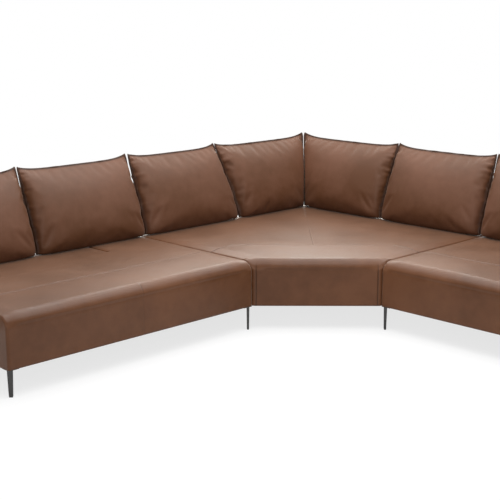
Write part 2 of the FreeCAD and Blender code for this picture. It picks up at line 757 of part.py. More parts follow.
def leg(name, turn, inward):
    """Leg whose broad side faces out across the module's corner, its plate moved inwards from it."""
    body = doc.addObject("PartDesign::Body", name)
    plate_low = "leg_height - leg_plate_thick"
    plate_spot = tuple(f"{sign} * (plate_inset - leg_inset)" for sign in inward)
    top = rectangle(body, name + "_top", "leg_broad", "leg_narrow", plate_low, turn)
    foot = rectangle(body, name + "_foot", "leg_foot_broad", "leg_foot_narrow", "glide_thick", turn)
    bar = body.newObject("PartDesign::AdditiveLoft", name + "_bar")
    bar.Profile = top
    bar.Sections = [foot]
    bar.Ruled = True
    plate = body.newObject("PartDesign::Pad", name + "_plate")
    plate.Profile = rectangle(body, name + "_square", "leg_plate", "leg_plate", plate_low, 0, plate_spot)
    drive(plate, Length="leg_plate_thick")
    doc.recompute()
    holes = body.newObject("Sketcher::SketchObject", name + "_holes")
    plane = next(plane for plane in body.Origin.OriginFeatures if plane.Role == "XY_Plane")
    holes.AttachmentSupport = [(plane, "")]
    holes.MapMode = "FlatFace"
    hole_line = f"{inward[1]} * (plate_inset - leg_inset + screw_setback)"
    for axis, text in zip("xyz", (plate_spot[0], hole_line, "leg_height")):
        holes.setExpression("AttachmentOffset.Base." + axis, bound(text))
    for i, sign in enumerate((-1, 1)):
        holes.addGeometry(Part.Circle(Vec(sign * 20, 0, 0), UP, 3), False)
        radius = holes.addConstraint(Sketcher.Constraint("Radius", i, 3))
        holes.setExpression(f"Constraints[{radius}]", bound("screw_radius + hole_play"))
    holes.addConstraint(Sketcher.Constraint("PointOnObject", 0, 3, -1))
    holes.addConstraint(Sketcher.Constraint("Symmetric", 0, 3, 1, 3, -1, 1))
    pitch = holes.addConstraint(Sketcher.Constraint("DistanceX", 0, 3, 1, 3, 40))
    holes.setExpression(f"Constraints[{pitch}]", bound("screw_pitch"))
    pocket = body.newObject("PartDesign::Pocket", name + "_drilled")
    pocket.Profile = holes
    drive(pocket, Length="leg_plate_thick")
    body.Tip = pocket
    return body


def screw(name, spot):
    """A screw driven up through a plate into the wood, its head under the plate."""
    head = rod(
        name + "_head", "screw_head", "screw_head_tall", "leg_height - leg_plate_thick - screw_head_tall"
    )
    shank = rod(
        name + "_shank", "screw_radius", "leg_plate_thick + screw_bite", "leg_height - leg_plate_thick"
    )
    whole = fused(name, [head, shank])
    whole.Placement.Base = spot
    return whole


def glide(name, spot, turn):
    """Plastic glide under a leg's foot."""
    pad = block(
        name,
        "leg_foot_broad - 2 * glide_lip",
        "leg_foot_narrow - 2 * glide_lip",
        "glide_thick",
        "glide_lip - leg_foot_broad / 2",
        "glide_lip - leg_foot_narrow / 2",
    )
    return pad, FreeCAD.Placement(spot, FreeCAD.Rotation(UP, turn))


inset = size("leg_inset")
near_rear, near_front = seat_rear + inset, seat_front - inset
module_spots = {
    "front_inner": (inset, near_front, (1, -1)),
    "front_outer": (module - inset, near_front, (-1, -1)),
    "rear_inner": (inset, near_rear, (1, 1)),
    "rear_outer": (module - inset, near_rear, (-1, 1)),
}
leg_places = []
for side in ("left", "right"):
    at = on_wing(side, wing if side == "left" else wing + module)
    for spot, (x, y, (inward_x, inward_y)) in module_spots.items():
        if side == "right":
            x, inward_x = module - x, -inward_x
        leg_places.append((f"leg_{side}_{spot}", at, x, y, (inward_x, inward_y)))
leg_places += [
    ("leg_corner_apex", AT_APEX, near_rear, -near_rear, (1, -1)),
    ("leg_corner_left", AT_APEX, near_rear, -wing + inset, (1, 1)),
    ("leg_corner_right", AT_APEX, wing - inset, -near_rear, (-1, -1)),
]
plate_shift = size("plate_inset") - inset
screws, glides = [], []
for name, at, x, y, inward in leg_places:
    spot = FreeCAD.Placement(Vec(x, y, 0), FreeCAD.Rotation())
    turn = -45 * inward[0] * inward[1]
    keep(name, leg(name, turn, inward), at.multiply(spot))
    for i, sign in enumerate((-1, 1)):
        across = sign * size("screw_pitch") / 2 + inward[0] * plate_shift
        ahead = inward[1] * (plate_shift + size("screw_setback"))
        driven = screw(f"screw_{name}_{i}", Vec(across, ahead, 0))
        driven.Placement = at.multiply(spot).multiply(driven.Placement)
        screws.append(driven)
    pad, pad_place = glide(f"glide_{name}", Vec(x, y, 0), turn)
    glides.append((pad, at.multiply(pad_place)))
doc.recompute()
glide_shapes = [turned(pad.Shape, placement) for pad, placement in glides]
keep("leg_glides", formed("leg_glides", Part.makeCompound(glide_shapes)), FreeCAD.Placement())

# Plates that join the corner module to its neighbours, two across each joint
for side in ("left", "right"):
    at = on_wing(side, wing)
    plates = []
    for i, y in enumerate((seat_rear + size("joiner_offset"), seat_front - size("joiner_offset"))):
        plate = block(
            f"{side}_joiner_{i}",
            "joiner_long",
            "joiner_wide",
            "joiner_thick",
            "-joiner_long / 2",
            "-joiner_wide / 2",
            "leg_height - joiner_thick",
        )
        rail_line = cover + rail / 2
        drills = []
        for j, x in enumerate((-rail_line, rail_line)):
            drills.append(
                rod(
                    f"{side}_joiner_{i}_hole_{j}",
                    "screw_radius + hole_play",
                    "3 * joiner_thick",
                    "leg_height - 2 * joiner_thick",
                    Vec(x, 0, 0),
                )
            )
            driven = screw(f"screw_{side}_joiner_{i}_{j}", Vec(x, y, 0))
            driven.Placement = at.multiply(driven.Placement)
            screws.append(driven)
        drilled = cut(f"{side}_joiner_{i}_drilled", plate, drills)
        drilled.Placement.Base.y = y
        plates.append(drilled)
    keep(f"{side}_joining_plates", compound(f"{side}_joining_plates", plates), at)
keep("mounting_screws", compound("mounting_screws", screws), FreeCAD.Placement())

# Every object has to be sound before anything is written
doc.recompute()
for obj in doc.Objects:
    if "Invalid" in obj.State or "Error" in obj.State:
        raise RuntimeError(f"{obj.Name} failed: {obj.State}")
os.makedirs("parts", exist_ok=True)
low, high = Vec(1e9, 1e9, 1e9), Vec(-1e9, -1e9, -1e9)
for obj in subparts:
    shape = obj.Shape
    if shape.isNull() or not shape.isValid():
        raise RuntimeError(f"{obj.Label} has no valid shape")
    box = shape.BoundBox
    low = Vec(min(low.x, box.XMin), min(low.y, box.YMin), min(low.z, box.ZMin))
    high = Vec(max(high.x, box.XMax), max(high.y, box.YMax), max(high.z, box.ZMax))
    shape.exportStep(f"parts/{obj.Label}.step")
print(f"{len(subparts)} sub-parts, box from {low} to {high}")
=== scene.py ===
import math

import bmesh
import bpy
from mathutils import Matrix, Vector, kdtree, noise


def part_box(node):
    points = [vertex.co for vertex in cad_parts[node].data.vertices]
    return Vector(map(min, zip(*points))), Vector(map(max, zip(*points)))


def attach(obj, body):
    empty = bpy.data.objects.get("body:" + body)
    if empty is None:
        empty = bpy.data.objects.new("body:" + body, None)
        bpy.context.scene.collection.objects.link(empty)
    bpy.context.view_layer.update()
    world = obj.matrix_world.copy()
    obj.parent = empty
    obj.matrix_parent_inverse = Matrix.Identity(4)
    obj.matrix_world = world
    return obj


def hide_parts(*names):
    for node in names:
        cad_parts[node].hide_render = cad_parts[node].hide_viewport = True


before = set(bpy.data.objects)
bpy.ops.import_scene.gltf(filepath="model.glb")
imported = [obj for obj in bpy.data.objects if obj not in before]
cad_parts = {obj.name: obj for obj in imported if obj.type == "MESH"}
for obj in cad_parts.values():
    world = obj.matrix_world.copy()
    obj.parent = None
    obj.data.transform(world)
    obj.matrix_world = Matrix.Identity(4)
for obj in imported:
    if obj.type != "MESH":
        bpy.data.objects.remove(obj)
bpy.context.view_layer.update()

# Frames of the three seat modules.
# Sawn pine rails with glued corner blocks, screwed together and planed only where the cover is
# pulled over them, so the grain stays coarse and dull.


def add(tree, kind, inputs=(), **settings):
    """A shader node with its settings; an input is a value, or the socket that feeds it."""
    node = tree.nodes.new("ShaderNode" + kind)
    for name, value in settings.items():
        setattr(node, name, value)
    for socket, value in dict(inputs).items():
        if isinstance(value, bpy.types.NodeSocket):
            tree.links.new(value, node.inputs[socket])
        else:
            node.inputs[socket].default_value = value
    return node


def tint(tree, share, first, second):
    """A colour that runs from the first to the second while the share runs from 0 to 1."""
    return add(tree, "Mix", {0: share, 6: first, 7: second}, data_type="RGBA").outputs[2]


def calc(tree, operation, *values):
    """The result of one step of arithmetic on values or sockets."""
    return add(tree, "Math", dict(enumerate(values)), operation=operation).outputs[0]


def speckle(tree, place, scale, detail, **more):
    """Noise from 0 to 1 over a place."""
    given = {"Vector": place, "Scale": scale, "Detail": detail, **more}
    return add(tree, "TexNoise", given).outputs["Fac"]


def effect(name, takes, gives):
    """An empty node group, with its inputs and outputs named and the ends to wire them to."""
    group = bpy.data.node_groups.new(name, "ShaderNodeTree")
    for in_out, sockets in (("INPUT", takes), ("OUTPUT", gives)):
        for socket, kind in sockets.items():
            group.interface.new_socket(socket, in_out=in_out, socket_type="NodeSocket" + kind)
    start = group.nodes.new("NodeGroupInput")
    end = group.nodes.new("NodeGroupOutput")
    return group, start.outputs, end.inputs


def give(group, end, **results):
    """Wire the results of a node group to its outputs."""
    for socket, result in results.items():
        group.links.new(result, end[socket])


def finish_of(name, **fixed):
    """A material with its tree and its main shader, whose fixed values are set."""
    material = bpy.data.materials.new(name)
    material.use_nodes = True
    tree = material.node_tree
    shader = tree.nodes["Principled BSDF"]
    for socket, value in fixed.items():
        shader.inputs[socket.replace("_", " ")].default_value = value
    return material, tree, shader


def feed(tree, group, given, shader, outputs):
    """Put a shared effect in a tree and wire some of its outputs to the main shader."""
    source = add(tree, "Group", given, node_tree=group)
    for output in outputs:
        socket = "Base Color" if output == "Colour" else output
        tree.links.new(source.outputs[output], shader.inputs[socket])
    return source


def dress(material, *nodes):
    """Give CAD nodes their material, as the only one that they have."""
    for node in nodes:
        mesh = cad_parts[node].data
        mesh.materials.clear()
        mesh.materials.append(material)


SURFACE = {"Colour": "Color", "Roughness": "Float", "Normal": "Vector"}
sawn_grain, start, end = effect(
    "sawn_grain", {"Early Wood": "Color", "Late Wood": "Color", "Ring Pitch": "Float"}, SURFACE
)
place = add(sawn_grain, "TexCoord").outputs["Object"]
stretched = add(
    sawn_grain, "VectorMath", {0: place, 1: (2.0, 2.0, 14.0)}, operation="MULTIPLY"
).outputs[0]
rings = speckle(sawn_grain, stretched, start["Ring Pitch"], 4.0)
bands = calc(sawn_grain, "SINE", calc(sawn_grain, "MULTIPLY", rings, 46.0))
bands = add(sawn_grain, "MapRange", {"Value": bands, "From Min": -1.0}).outputs[0]
fibre = speckle(sawn_grain, stretched, 90.0, 3.0)
dull = add(sawn_grain, "MapRange", {"Value": fibre, "To Min": 0.62, "To Max": 0.85})
rough = add(sawn_grain, "Bump", {"Height": fibre, "Strength": 0.35, "Distance": 0.0006})
give(
    sawn_grain,
    end,
    Colour=tint(sawn_grain, bands, start["Early Wood"], start["Late Wood"]),
    Roughness=dull.outputs[0],
    Normal=rough.outputs["Normal"],
)

sawn_pine, tree, shader = finish_of("sawn_pine")
pine_colours = {"Early Wood": (0.62, 0.43, 0.24, 1), "Late Wood": (0.42, 0.25, 0.12, 1)}
feed(tree, sawn_grain, {**pine_colours, "Ring Pitch": 1.4}, shader, SURFACE)
MODULES = ("left", "corner", "right")
dress(sawn_pine, *(f"{module}_frame" for module in MODULES))

# Legs: slim turned steel tapers with a welded top plate, screwed up into the corner blocks.
# They are sprayed black; the paint is satin, with a faint ripple, and each stands on a nylon
# glide.
paint_film, start, end = effect("paint_film", {"Paint": "Color", "Ripple": "Float"}, SURFACE)
place = add(paint_film, "TexCoord").outputs["Object"]
mist = speckle(paint_film, place, 60.0, 4.0)
lighter = add(paint_film, "HueSaturation", {"Value": 1.7, "Color": start["Paint"]})
faded = add(paint_film, "MapRange", {"Value": mist, "From Min": 0.45, "From Max": 0.8})
gloss = add(paint_film, "MapRange", {"Value": mist, "To Min": 0.30, "To Max": 0.46})
peel = speckle(paint_film, place, 700.0, 2.0)
ripple = add(
    paint_film, "Bump", {"Height": peel, "Strength": start["Ripple"], "Distance": 0.0003}
)
give(
    paint_film,
    end,
    Colour=tint(paint_film, faded.outputs[0], start["Paint"], lighter.outputs["Color"]),
    Roughness=gloss.outputs[0],
    Normal=ripple.outputs["Normal"],
)

leg_paint, tree, shader = finish_of("leg_paint", Coat_Weight=0.15, Coat_Roughness=0.3)
feed(tree, paint_film, {"Paint": (0.016, 0.015, 0.014, 1), "Ripple": 0.3}, shader, SURFACE)
LEGS = [
    f"leg_{side}_{edge}_{place}"
    for side in ("left", "right")
    for edge in ("front", "rear")
    for place in ("inner", "outer")
]
dress(leg_paint, "leg_corner_apex", "leg_corner_left", "leg_corner_right", *LEGS)

glide_nylon, tree, shader = finish_of("glide_nylon", Roughness=0.6)
nylon = {"Paint": (0.030, 0.030, 0.030, 1), "Ripple": 0.8}
feed(tree, paint_film, nylon, shader, ("Colour", "Normal"))
dress(glide_nylon, "leg_glides")

# Steel of the sliding backs, the fixed backs' arms, the joining plates, the bolts and the
# screws. Cold-rolled strip, bent and zinc plated, with the rolling lines and light rub marks
# left in it.
rolled_steel, start, end = effect(
    "rolled_steel", {"Metal": "Color", "Dull Metal": "Color", "Lines": "Float"}, SURFACE
)
place = add(rolled_steel, "TexCoord").outputs["Object"]
along_z = add(rolled_steel, "VectorMath", {0: place, 1: (1.0, 1.0, 0.04)}, operation="MULTIPLY")
drawn = speckle(rolled_steel, along_z.outputs[0], 900.0, 3.0)
cloudy = speckle(rolled_steel, place, 34.0, 5.0)
blurred = add(rolled_steel, "MapRange", {"Value": cloudy, "To Min": 0.26, "To Max": 0.52})
lines = add(
    rolled_steel, "Bump", {"Height": drawn, "Strength": start["Lines"], "Distance": 0.0002}
)
give(
    rolled_steel,
    end,
    Colour=tint(rolled_steel, cloudy, start["Metal"], start["Dull Metal"]),
    Roughness=blurred.outputs[0],
    Normal=lines.outputs["Normal"],
)

plated_steel, tree, shader = finish_of("plated_steel", Metallic=1.0)
zinc = {"Metal": (0.58, 0.58, 0.60, 1), "Dull Metal": (0.36, 0.36, 0.37, 1), "Lines": 0.35}
feed(tree, rolled_steel, zinc, shader, SURFACE)
# The four backs of each wing, from the corner outwards; the last two of them slide
PLACES = ("corner_{}_inner", "corner_{}_outer", "{}_inner", "{}_end")
BACKS = {side: [place.format(side) for place in PLACES] for side in ("left", "right")}
for side, backs in BACKS.items():
    dress(plated_steel, f"{side}_joining_plates", *(f"arm_{back}" for back in backs[:2]))
    for back in backs[2:]:
        dress(plated_steel, f"carriage_{back}", f"runners_{back}")
dress(plated_steel, "arm_bolts", "mounting_screws")

# Seat webbing: elastic jute and rubber straps, woven over and under each other and stapled to
# the rails. Each strap is a flat ribbon with a ribbed weave and a pair of rust-coloured marker
# threads near its edges.
weave, start, end = effect(
    "weave",
    {"Warp": "Color", "Weft": "Color", "Threads": "Float", "Depth": "Float"},
    {"Colour": "Color", "Normal": "Vector"},
)
place = add(weave, "TexCoord").outputs["Object"]
scaled = add(weave, "VectorMath", {0: place, 3: start["Threads"]}, operation="SCALE")
axes = add(weave, "SeparateXYZ", {0: scaled.outputs[0]})
over = calc(weave, "SINE", axes.outputs["X"])
under = calc(weave, "SINE", axes.outputs["Y"])
crossing = calc(weave, "MULTIPLY", over, under)
crossing = add(weave, "MapRange", {"Value": crossing, "From Min": -1.0}).outputs[0]
height = calc(weave, "MULTIPLY_ADD", speckle(weave, place, 260.0, 4.0), 0.5, crossing)
threads = add(weave, "Bump", {"Height": height, "Strength": start["Depth"], "Distance": 0.0006})
give(
    weave,
    end,
    Colour=tint(weave, crossing, start["Warp"], start["Weft"]),
    Normal=threads.outputs["Normal"],
)

MARKER_PLACE, MARKER_HALF = 0.017, 0.0016
strap_weave, tree, shader = finish_of("strap_weave", Roughness=0.85)
jute = {"Warp": (0.030, 0.027, 0.024, 1), "Weft": (0.085, 0.074, 0.060, 1)}
cloth = feed(tree, weave, {**jute, "Threads": 1900.0, "Depth": 0.8}, shader, ("Normal",))
strap = add(tree, "Attribute", attribute_name="strap_place")
across = add(tree, "SeparateXYZ", {0: strap.outputs["Vector"]})
off_middle = calc(tree, "ABSOLUTE", across.outputs["X"])
marker = calc(tree, "COMPARE", off_middle, MARKER_PLACE, MARKER_HALF)
marked = tint(tree, marker, cloth.outputs["Colour"], (0.30, 0.16, 0.06, 1))
tree.links.new(marked, shader.inputs["Base Color"])


def near(distance, reach):
    """A bell curve: 1 where there is no distance, and almost 0 at twice the reach."""
    return math.exp(-((distance / reach) ** 2))


def cut(bm, point, normal, parts=None, **settings):
    """Cut a mesh, or some parts of it, along a plane."""
    if parts is None:
        parts = bm.verts[:] + bm.edges[:] + bm.faces[:]
    bmesh.ops.bisect_plane(bm, geom=parts, plane_co=point, plane_no=normal, **settings)


def piece_of(bm, name, material=None, smooth=False):
    """An object in the scene, made of a finished mesh."""
    for face in bm.faces:
        face.smooth = face.smooth or smooth
    mesh = bpy.data.meshes.new(name)
    bm.to_mesh(mesh)
    bm.free()
    if material:
        mesh.materials.append(material)
    piece = bpy.data.objects.new(name, mesh)
    bpy.context.collection.objects.link(piece)
    return piece


def row(first, pitch, count, low, high, rails=()):
    """Straps side by side, each as its middle and its two ends, with none where a rail lies."""
    return [(first + pitch * k, low, high) for k in range(count) if k not in rails]


STRAP_HALF, STRAP_THICK, STRAP_LEVEL = 0.025, 0.0022, 0.2390
STRAP_STEP = 0.0125
WEAVE_LIFT, WEAVE_REACH = 0.0012, 0.033
LONG_PITCH, CROSS_PITCH, CORNER_PITCH = 0.125079, 0.1195, 0.1215818
# Beside the corner's slanting front, the lines where its straps end in x and y are this far apart
SLANT = 0.49676
STRAPS = {
    "left": (
        row(-0.117793, -LONG_PITCH, 13, -1.5817, -0.5367, rails=(3, 9)),
        row(-1.2060, CROSS_PITCH, 6, -1.6933, -0.0433),
    ),
    "right": (
        row(0.117793, LONG_PITCH, 13, 0.5367, 1.5817, rails=(3, 9)),
        row(0.6085, CROSS_PITCH, 6, 0.0433, 1.6933),
    ),
    "corner": (
        [
            (middle, max(low, middle + SLANT), high)
            for middle, low, high in row(-1.40694, CORNER_PITCH, 12, -0.0033, 1.5817, rails=(2,))
        ],
        [
            (middle, low, min(high, middle - SLANT))
            for middle, low, high in row(0.06954, CORNER_PITCH, 12, -1.5817, 0.0033, rails=(3, 9))
        ],
    ),
}
for module, rows in STRAPS.items():
    # Placed to a tenth of a millimetre
    first, second = ([[round(at, 4) for at in strap] for strap in straps] for straps in rows)
    # The left module's first straps lie along x, the others' along y
    first_runs_x = module == "left"
    bm = bmesh.new()
    strap_place = bm.verts.layers.float_vector.new("strap_place")
    for straps, others, runs_x, phase in (
        (first, second, first_runs_x, 0),
        (second, first, not first_runs_x, 1),
    ):
        for number, (middle, low, high) in enumerate(straps):
            steps = int((high - low) / STRAP_STEP)
            ribbon = bmesh.ops.create_grid(bm, x_segments=steps, y_segments=4, size=0.5)["verts"]
            crossed = sorted(
                other for other, first_end, last_end in others
                if first_end < middle < last_end and low < other < high
            )
            for vert in ribbon:
                run = low + (vert.co.x + 0.5) * (high - low)
                aside = vert.co.y * 2 * STRAP_HALF
                lift = 0.0
                for k, other in enumerate(crossed):
                    over_or_under = 1 if (k + number + phase) % 2 else -1
                    lift += over_or_under * near(run - other, WEAVE_REACH)
                lift = max(-1.0, min(1.0, lift)) * WEAVE_LIFT
                spot = (run, middle + aside) if runs_x else (middle + aside, run)
                vert.co = (*spot, STRAP_LEVEL + lift)
                vert[strap_place] = (aside, run, 0.0)
    if module == "corner":
        cut(bm, (0, 0.5218, 0), (1, -1, 0), clear_outer=True)
    bmesh.ops.solidify(bm, geom=bm.faces[:], thickness=STRAP_THICK)
    bmesh.ops.recalc_face_normals(bm, faces=bm.faces[:])
    for face in bm.faces:
        face.smooth = abs(face.normal.z) > 0.7
    webbing = piece_of(bm, f"{module}_straps", strap_weave)
    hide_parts(f"{module}_webbing")
    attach(webbing, "seat_base")

# Dust cloth: a thin black spun-bonded sheet, folded under and stapled all round the underside
# of each frame. It is drawn tight, and sags a little between the rails.
spun_bonded, tree, shader = finish_of("spun_bonded", Roughness=0.9)
black = {"Warp": (0.012, 0.012, 0.012, 1), "Weft": (0.030, 0.030, 0.031, 1)}
feed(tree, weave, {**black, "Threads": 1300.0, "Depth": 0.5}, shader, ("Colour", "Normal"))


def rectangle(low_x, high_x, low_y, high_y):
    """A plan of four corners, anticlockwise."""
    return [(low_x, low_y), (high_x, low_y), (high_x, high_y), (low_x, high_y)]


CLOTH_LEVEL = 0.1457
CLOTH_PITCH = 0.035
SAG = 0.0035
# Where the sag starts, counted from the cloth's edge, and how wide it takes to be full
SAG_START, SAG_WIDE = 0.14, 0.2
CLOTH_PLANS = {
    "left": rectangle(-1.597, -0.5214, -1.7086, -0.0280),
    "right": rectangle(0.0280, 1.7086, 0.5214, 1.597),
    "corner": [
        (-1.597, -0.0186), (-0.5211, -0.0186), (0.0186, 0.5211), (0.0186, 1.597), (-1.597, 1.597)
    ],
}
for module, plan in CLOTH_PLANS.items():
    bm = bmesh.new()
    bm.faces.new([bm.verts.new((x, y, CLOTH_LEVEL)) for x, y in plan])
    area = sum(face.calc_area() for face in bm.faces)
    low = [min(spot[axis] for spot in plan) for axis in (0, 1)]
    high = [max(spot[axis] for spot in plan) for axis in (0, 1)]
    flat = (high[0] - low[0], high[1] - low[1])
    for axis, normal in enumerate(((1, 0, 0), (0, 1, 0))):
        count = int(flat[axis] / CLOTH_PITCH)
        for i in range(1, count):
            cut(bm, Vector(normal) * (low[axis] + flat[axis] * i / count), normal)
    for vert in bm.verts:
        x, y, z = vert.co
        aside = min(x - low[0], high[0] - x, y - low[1], high[1] - y)
        slack = min(max((aside - SAG_START) / SAG_WIDE, 0.0), 1.0)
        vert.co.z -= SAG * slack * (0.6 + 0.4 * noise.noise(Vector((x * 5, y * 5, 2.0))))
    for face in bm.faces:
        if face.normal.z > 0:
            face.normal_flip()
    bottom = piece_of(bm, f"{module}_bottom_cloth", spun_bonded, smooth=True)
    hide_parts(f"{module}_dust_cloth")
    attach(bottom, "seat_base")

# Seats of the three modules, each a foam block under one leather cover that is pulled down over
# the frame. The top panel ends in a band along the front, the front edge is rolled softly, and
# the cover of a two-seat module is slit where the uprights of its sliding backs come through.
SEAT_TOP, SEAT_LOW = 0.420, 0.145
# Underside of the foam, over the frame's rails and the webbing
CEILING = 0.2415
COVER_THICK = 0.0036
BACK_MARGIN, DEPTH = -0.100, 0.985
JOINT, WIDTH = 1.525, 1.690
END = JOINT + WIDTH
FRONT_ROLL, EDGE_ROLL = 0.068, 0.014
# Where the seam that ends the top panel lies, counted forwards from the wing's own zero line
BAND = 0.615
CROWN = 0.006
# How much of the seat's depth, from its rear edge, stays flat for the cushions to stand on
STANDS = 0.300
corner_low, corner_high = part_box("corner_frame")
APEX = Vector((corner_low.x + 0.096, corner_high.y - 0.096, 0))
# Columns: along the wing, forwards, up. The right wing is the left one's mirror image
WINGS = {
    "left": Matrix(((0, 1, 0, APEX.x), (-1, 0, 0, APEX.y), (0, 0, 1, 0), (0, 0, 0, 1))),
    "right": Matrix(((1, 0, 0, APEX.x), (0, -1, 0, APEX.y), (0, 0, 1, 0), (0, 0, 0, 1))),
    "corner": Matrix.Translation(APEX),
}
# The groove of a seam, the welt that stands beside it, and the gathers across it
GROOVE_DEEP, GROOVE_HALF = 0.0022, 0.0022
WELT_HIGH, WELT_AWAY, WELT_HALF = 0.0009, 0.008, 0.005
GATHER_HIGH, GATHER_REACH = 0.0008, 0.02
# How the cover swells everywhere, drops towards its ends and is drawn in at its walls and slits
BROAD_SWELL, FINE_SWELL, WALL_SWELL = 0.0022, 0.0006, 0.6
END_DROP, END_REACH = 0.006, 0.09
WALL_DRAW = 0.0012
LIP_DROP, LIP_HALF = 0.0035, 0.010
CUT_DIST = 2e-5
SEAT_PITCH = 0.017
WALL_FOOT, WALL_PITCH, WALL_CUTS = 0.012, 0.026, 8
# Cuts beside a seam's line, and outside a slit's edge
SEAM_STEPS = (-0.0105, -0.0060, -0.0028, -0.0010, 0.0010, 0.0028, 0.0060, 0.0105)
LIP_STEPS = (0.010, 0.004, 0.0)
LIP_REACH = 0.03


def ease(value):
    """A smooth step from 0 to 1."""
    value = min(max(value, 0.0), 1.0)
    return value * value * (3 - 2 * value)


def off_line(x, y, line):
    """Distance from a seam drawn as a line of points in plan, and how far along it that is."""
    best, run = (1.0, 0.0), 0.0
    for (ax, ay), (bx, by) in zip(line, line[1:]):
        dx, dy = bx - ax, by - ay
        long = math.hypot(dx, dy)
        share = min(max(((x - ax) * dx + (y - ay) * dy) / long**2, 0.0), 1.0)
        away = math.hypot(x - ax - share * dx, y - ay - share * dy)
        if away < best[0]:
            best = (away, run + share * long)
        run += long
    return best


def inside_by(x, y, plan):
    """How far a point lies inside each side of a plan drawn anticlockwise."""
    depths = []
    for (ax, ay), (bx, by) in zip(plan, plan[1:] + plan[:1]):
        long = math.hypot(bx - ax, by - ay)
        depths.append(((x - ax) * (ay - by) + (y - ay) * (bx - ax)) / long)
    return depths


def with_bounds(faces):
    """Faces together with their own edges and corners, always in the same order."""
    verts = dict.fromkeys(vert for face in faces for vert in face.verts)
    edges = dict.fromkeys(edge for face in faces for edge in face.edges)
    return [*verts, *edges, *faces]


def verts_in(parts):
    """The corners among what an operator has made."""
    return [part for part in parts if isinstance(part, bmesh.types.BMVert)]


def slice_at(bm, direction, positions, region=None):
    """Cut by upright planes square to a direction, throughout or in one region of the plan."""
    normal = Vector((*direction, 0))
    parts = None
    for position in positions:
        if region:
            low_x, high_x, low_y, high_y = region
            middles = [(face, face.calc_center_median()) for face in bm.faces]
            parts = with_bounds(
                [f for f, at in middles if low_x < at.x < high_x and low_y < at.y < high_y]
            )
        cut(bm, normal * position, normal, parts, dist=CUT_DIST)


def grid_lines(low, high, marks):
    """Even positions between two bounds, with closer ones at each mark and none beside them."""
    fine = sorted(mark + step for mark in marks for step in SEAM_STEPS)
    count = round((high - low) / SEAT_PITCH)
    even = [low + (high - low) * i / count for i in range(1, count)]
    clear = 0.4 * SEAT_PITCH
    return fine + [spot for spot in even if all(abs(spot - other) > clear for other in fine)]


def seat_block(plan, front):
    """A block on a plan, with rounded upper edges and a wide roll along its front."""
    bm = bmesh.new()
    bottom = bm.faces.new([bm.verts.new((x, y, SEAT_LOW)) for x, y in plan])
    raised = bmesh.ops.extrude_face_region(bm, geom=[bottom], use_keep_orig=True)["geom"]
    bmesh.ops.translate(bm, verts=verts_in(raised), vec=(0, 0, SEAT_TOP - SEAT_LOW))
    bmesh.ops.recalc_face_normals(bm, faces=bm.faces[:])
    above = SEAT_LOW + 0.01
    front_line = [plan[front], plan[(front + 1) % len(plan)]]
    rolled = [
        edge
        for edge in bm.edges
        if all(
            vert.co.z > above and off_line(vert.co.x, vert.co.y, front_line)[0] < 1e-4
            for vert in edge.verts
        )
    ]
    bevel = {"affect": "EDGES", "profile": 0.5, "material": -1, "offset_type": "OFFSET"}
    bmesh.ops.bevel(bm, geom=rolled, offset=FRONT_ROLL, segments=14, **bevel)
    sharp = [
        edge
        for edge in bm.edges
        if edge.calc_face_angle(0) > 0.5 and any(vert.co.z > above for vert in edge.verts)
    ]
    bmesh.ops.bevel(bm, geom=sharp, offset=EDGE_ROLL, segments=4, **bevel)
    return bm


def hollow_out(bm, slots):
    """Open a block below for the frame, then each slot from there through the top."""
    under = [
        face
        for face in bm.faces
        if face.normal.z < -0.9 and face.calc_center_median().z < SEAT_LOW + 1e-4
    ]
    bmesh.ops.inset_region(bm, faces=under, thickness=COVER_THICK, use_even_offset=True)
    inside = set(under)
    edges = dict.fromkeys(edge for face in under for edge in face.edges)
    rim = [edge for edge in edges if not inside.issuperset(edge.link_faces)]
    bmesh.ops.delete(bm, geom=under, context="FACES")
    walls = bmesh.ops.extrude_edge_only(bm, edges=rim)["geom"]
    bmesh.ops.translate(bm, verts=verts_in(walls), vec=(0, 0, CEILING - SEAT_LOW))
    bmesh.ops.contextual_create(bm, geom=[edge for edge in bm.edges if edge.is_boundary])
    for low_x, high_x, low_y, high_y in slots:
        for normal, spots in (((1, 0, 0), (low_x, high_x)), ((0, 1, 0), (low_y, high_y))):
            for spot in spots:
                ceiling = [
                    face for face in bm.faces if abs(face.calc_center_median().z - CEILING) < 1e-4
                ]
                cut(bm, Vector(normal) * spot, normal, with_bounds(ceiling), dist=CUT_DIST)
    for low_x, high_x, low_y, high_y in slots:
        lids = []
        for face in bm.faces:
            at = face.calc_center_median()
            level = abs(face.normal.z) > 0.9 and at.z > CEILING - 1e-3
            if level and low_x < at.x < high_x and low_y < at.y < high_y:
                lids.append(face)
        bmesh.ops.delete(bm, geom=lids, context="FACES")
        bmesh.ops.bridge_loops(bm, edges=[edge for edge in bm.edges if edge.is_boundary])
    bmesh.ops.recalc_face_normals(bm, faces=bm.faces[:])


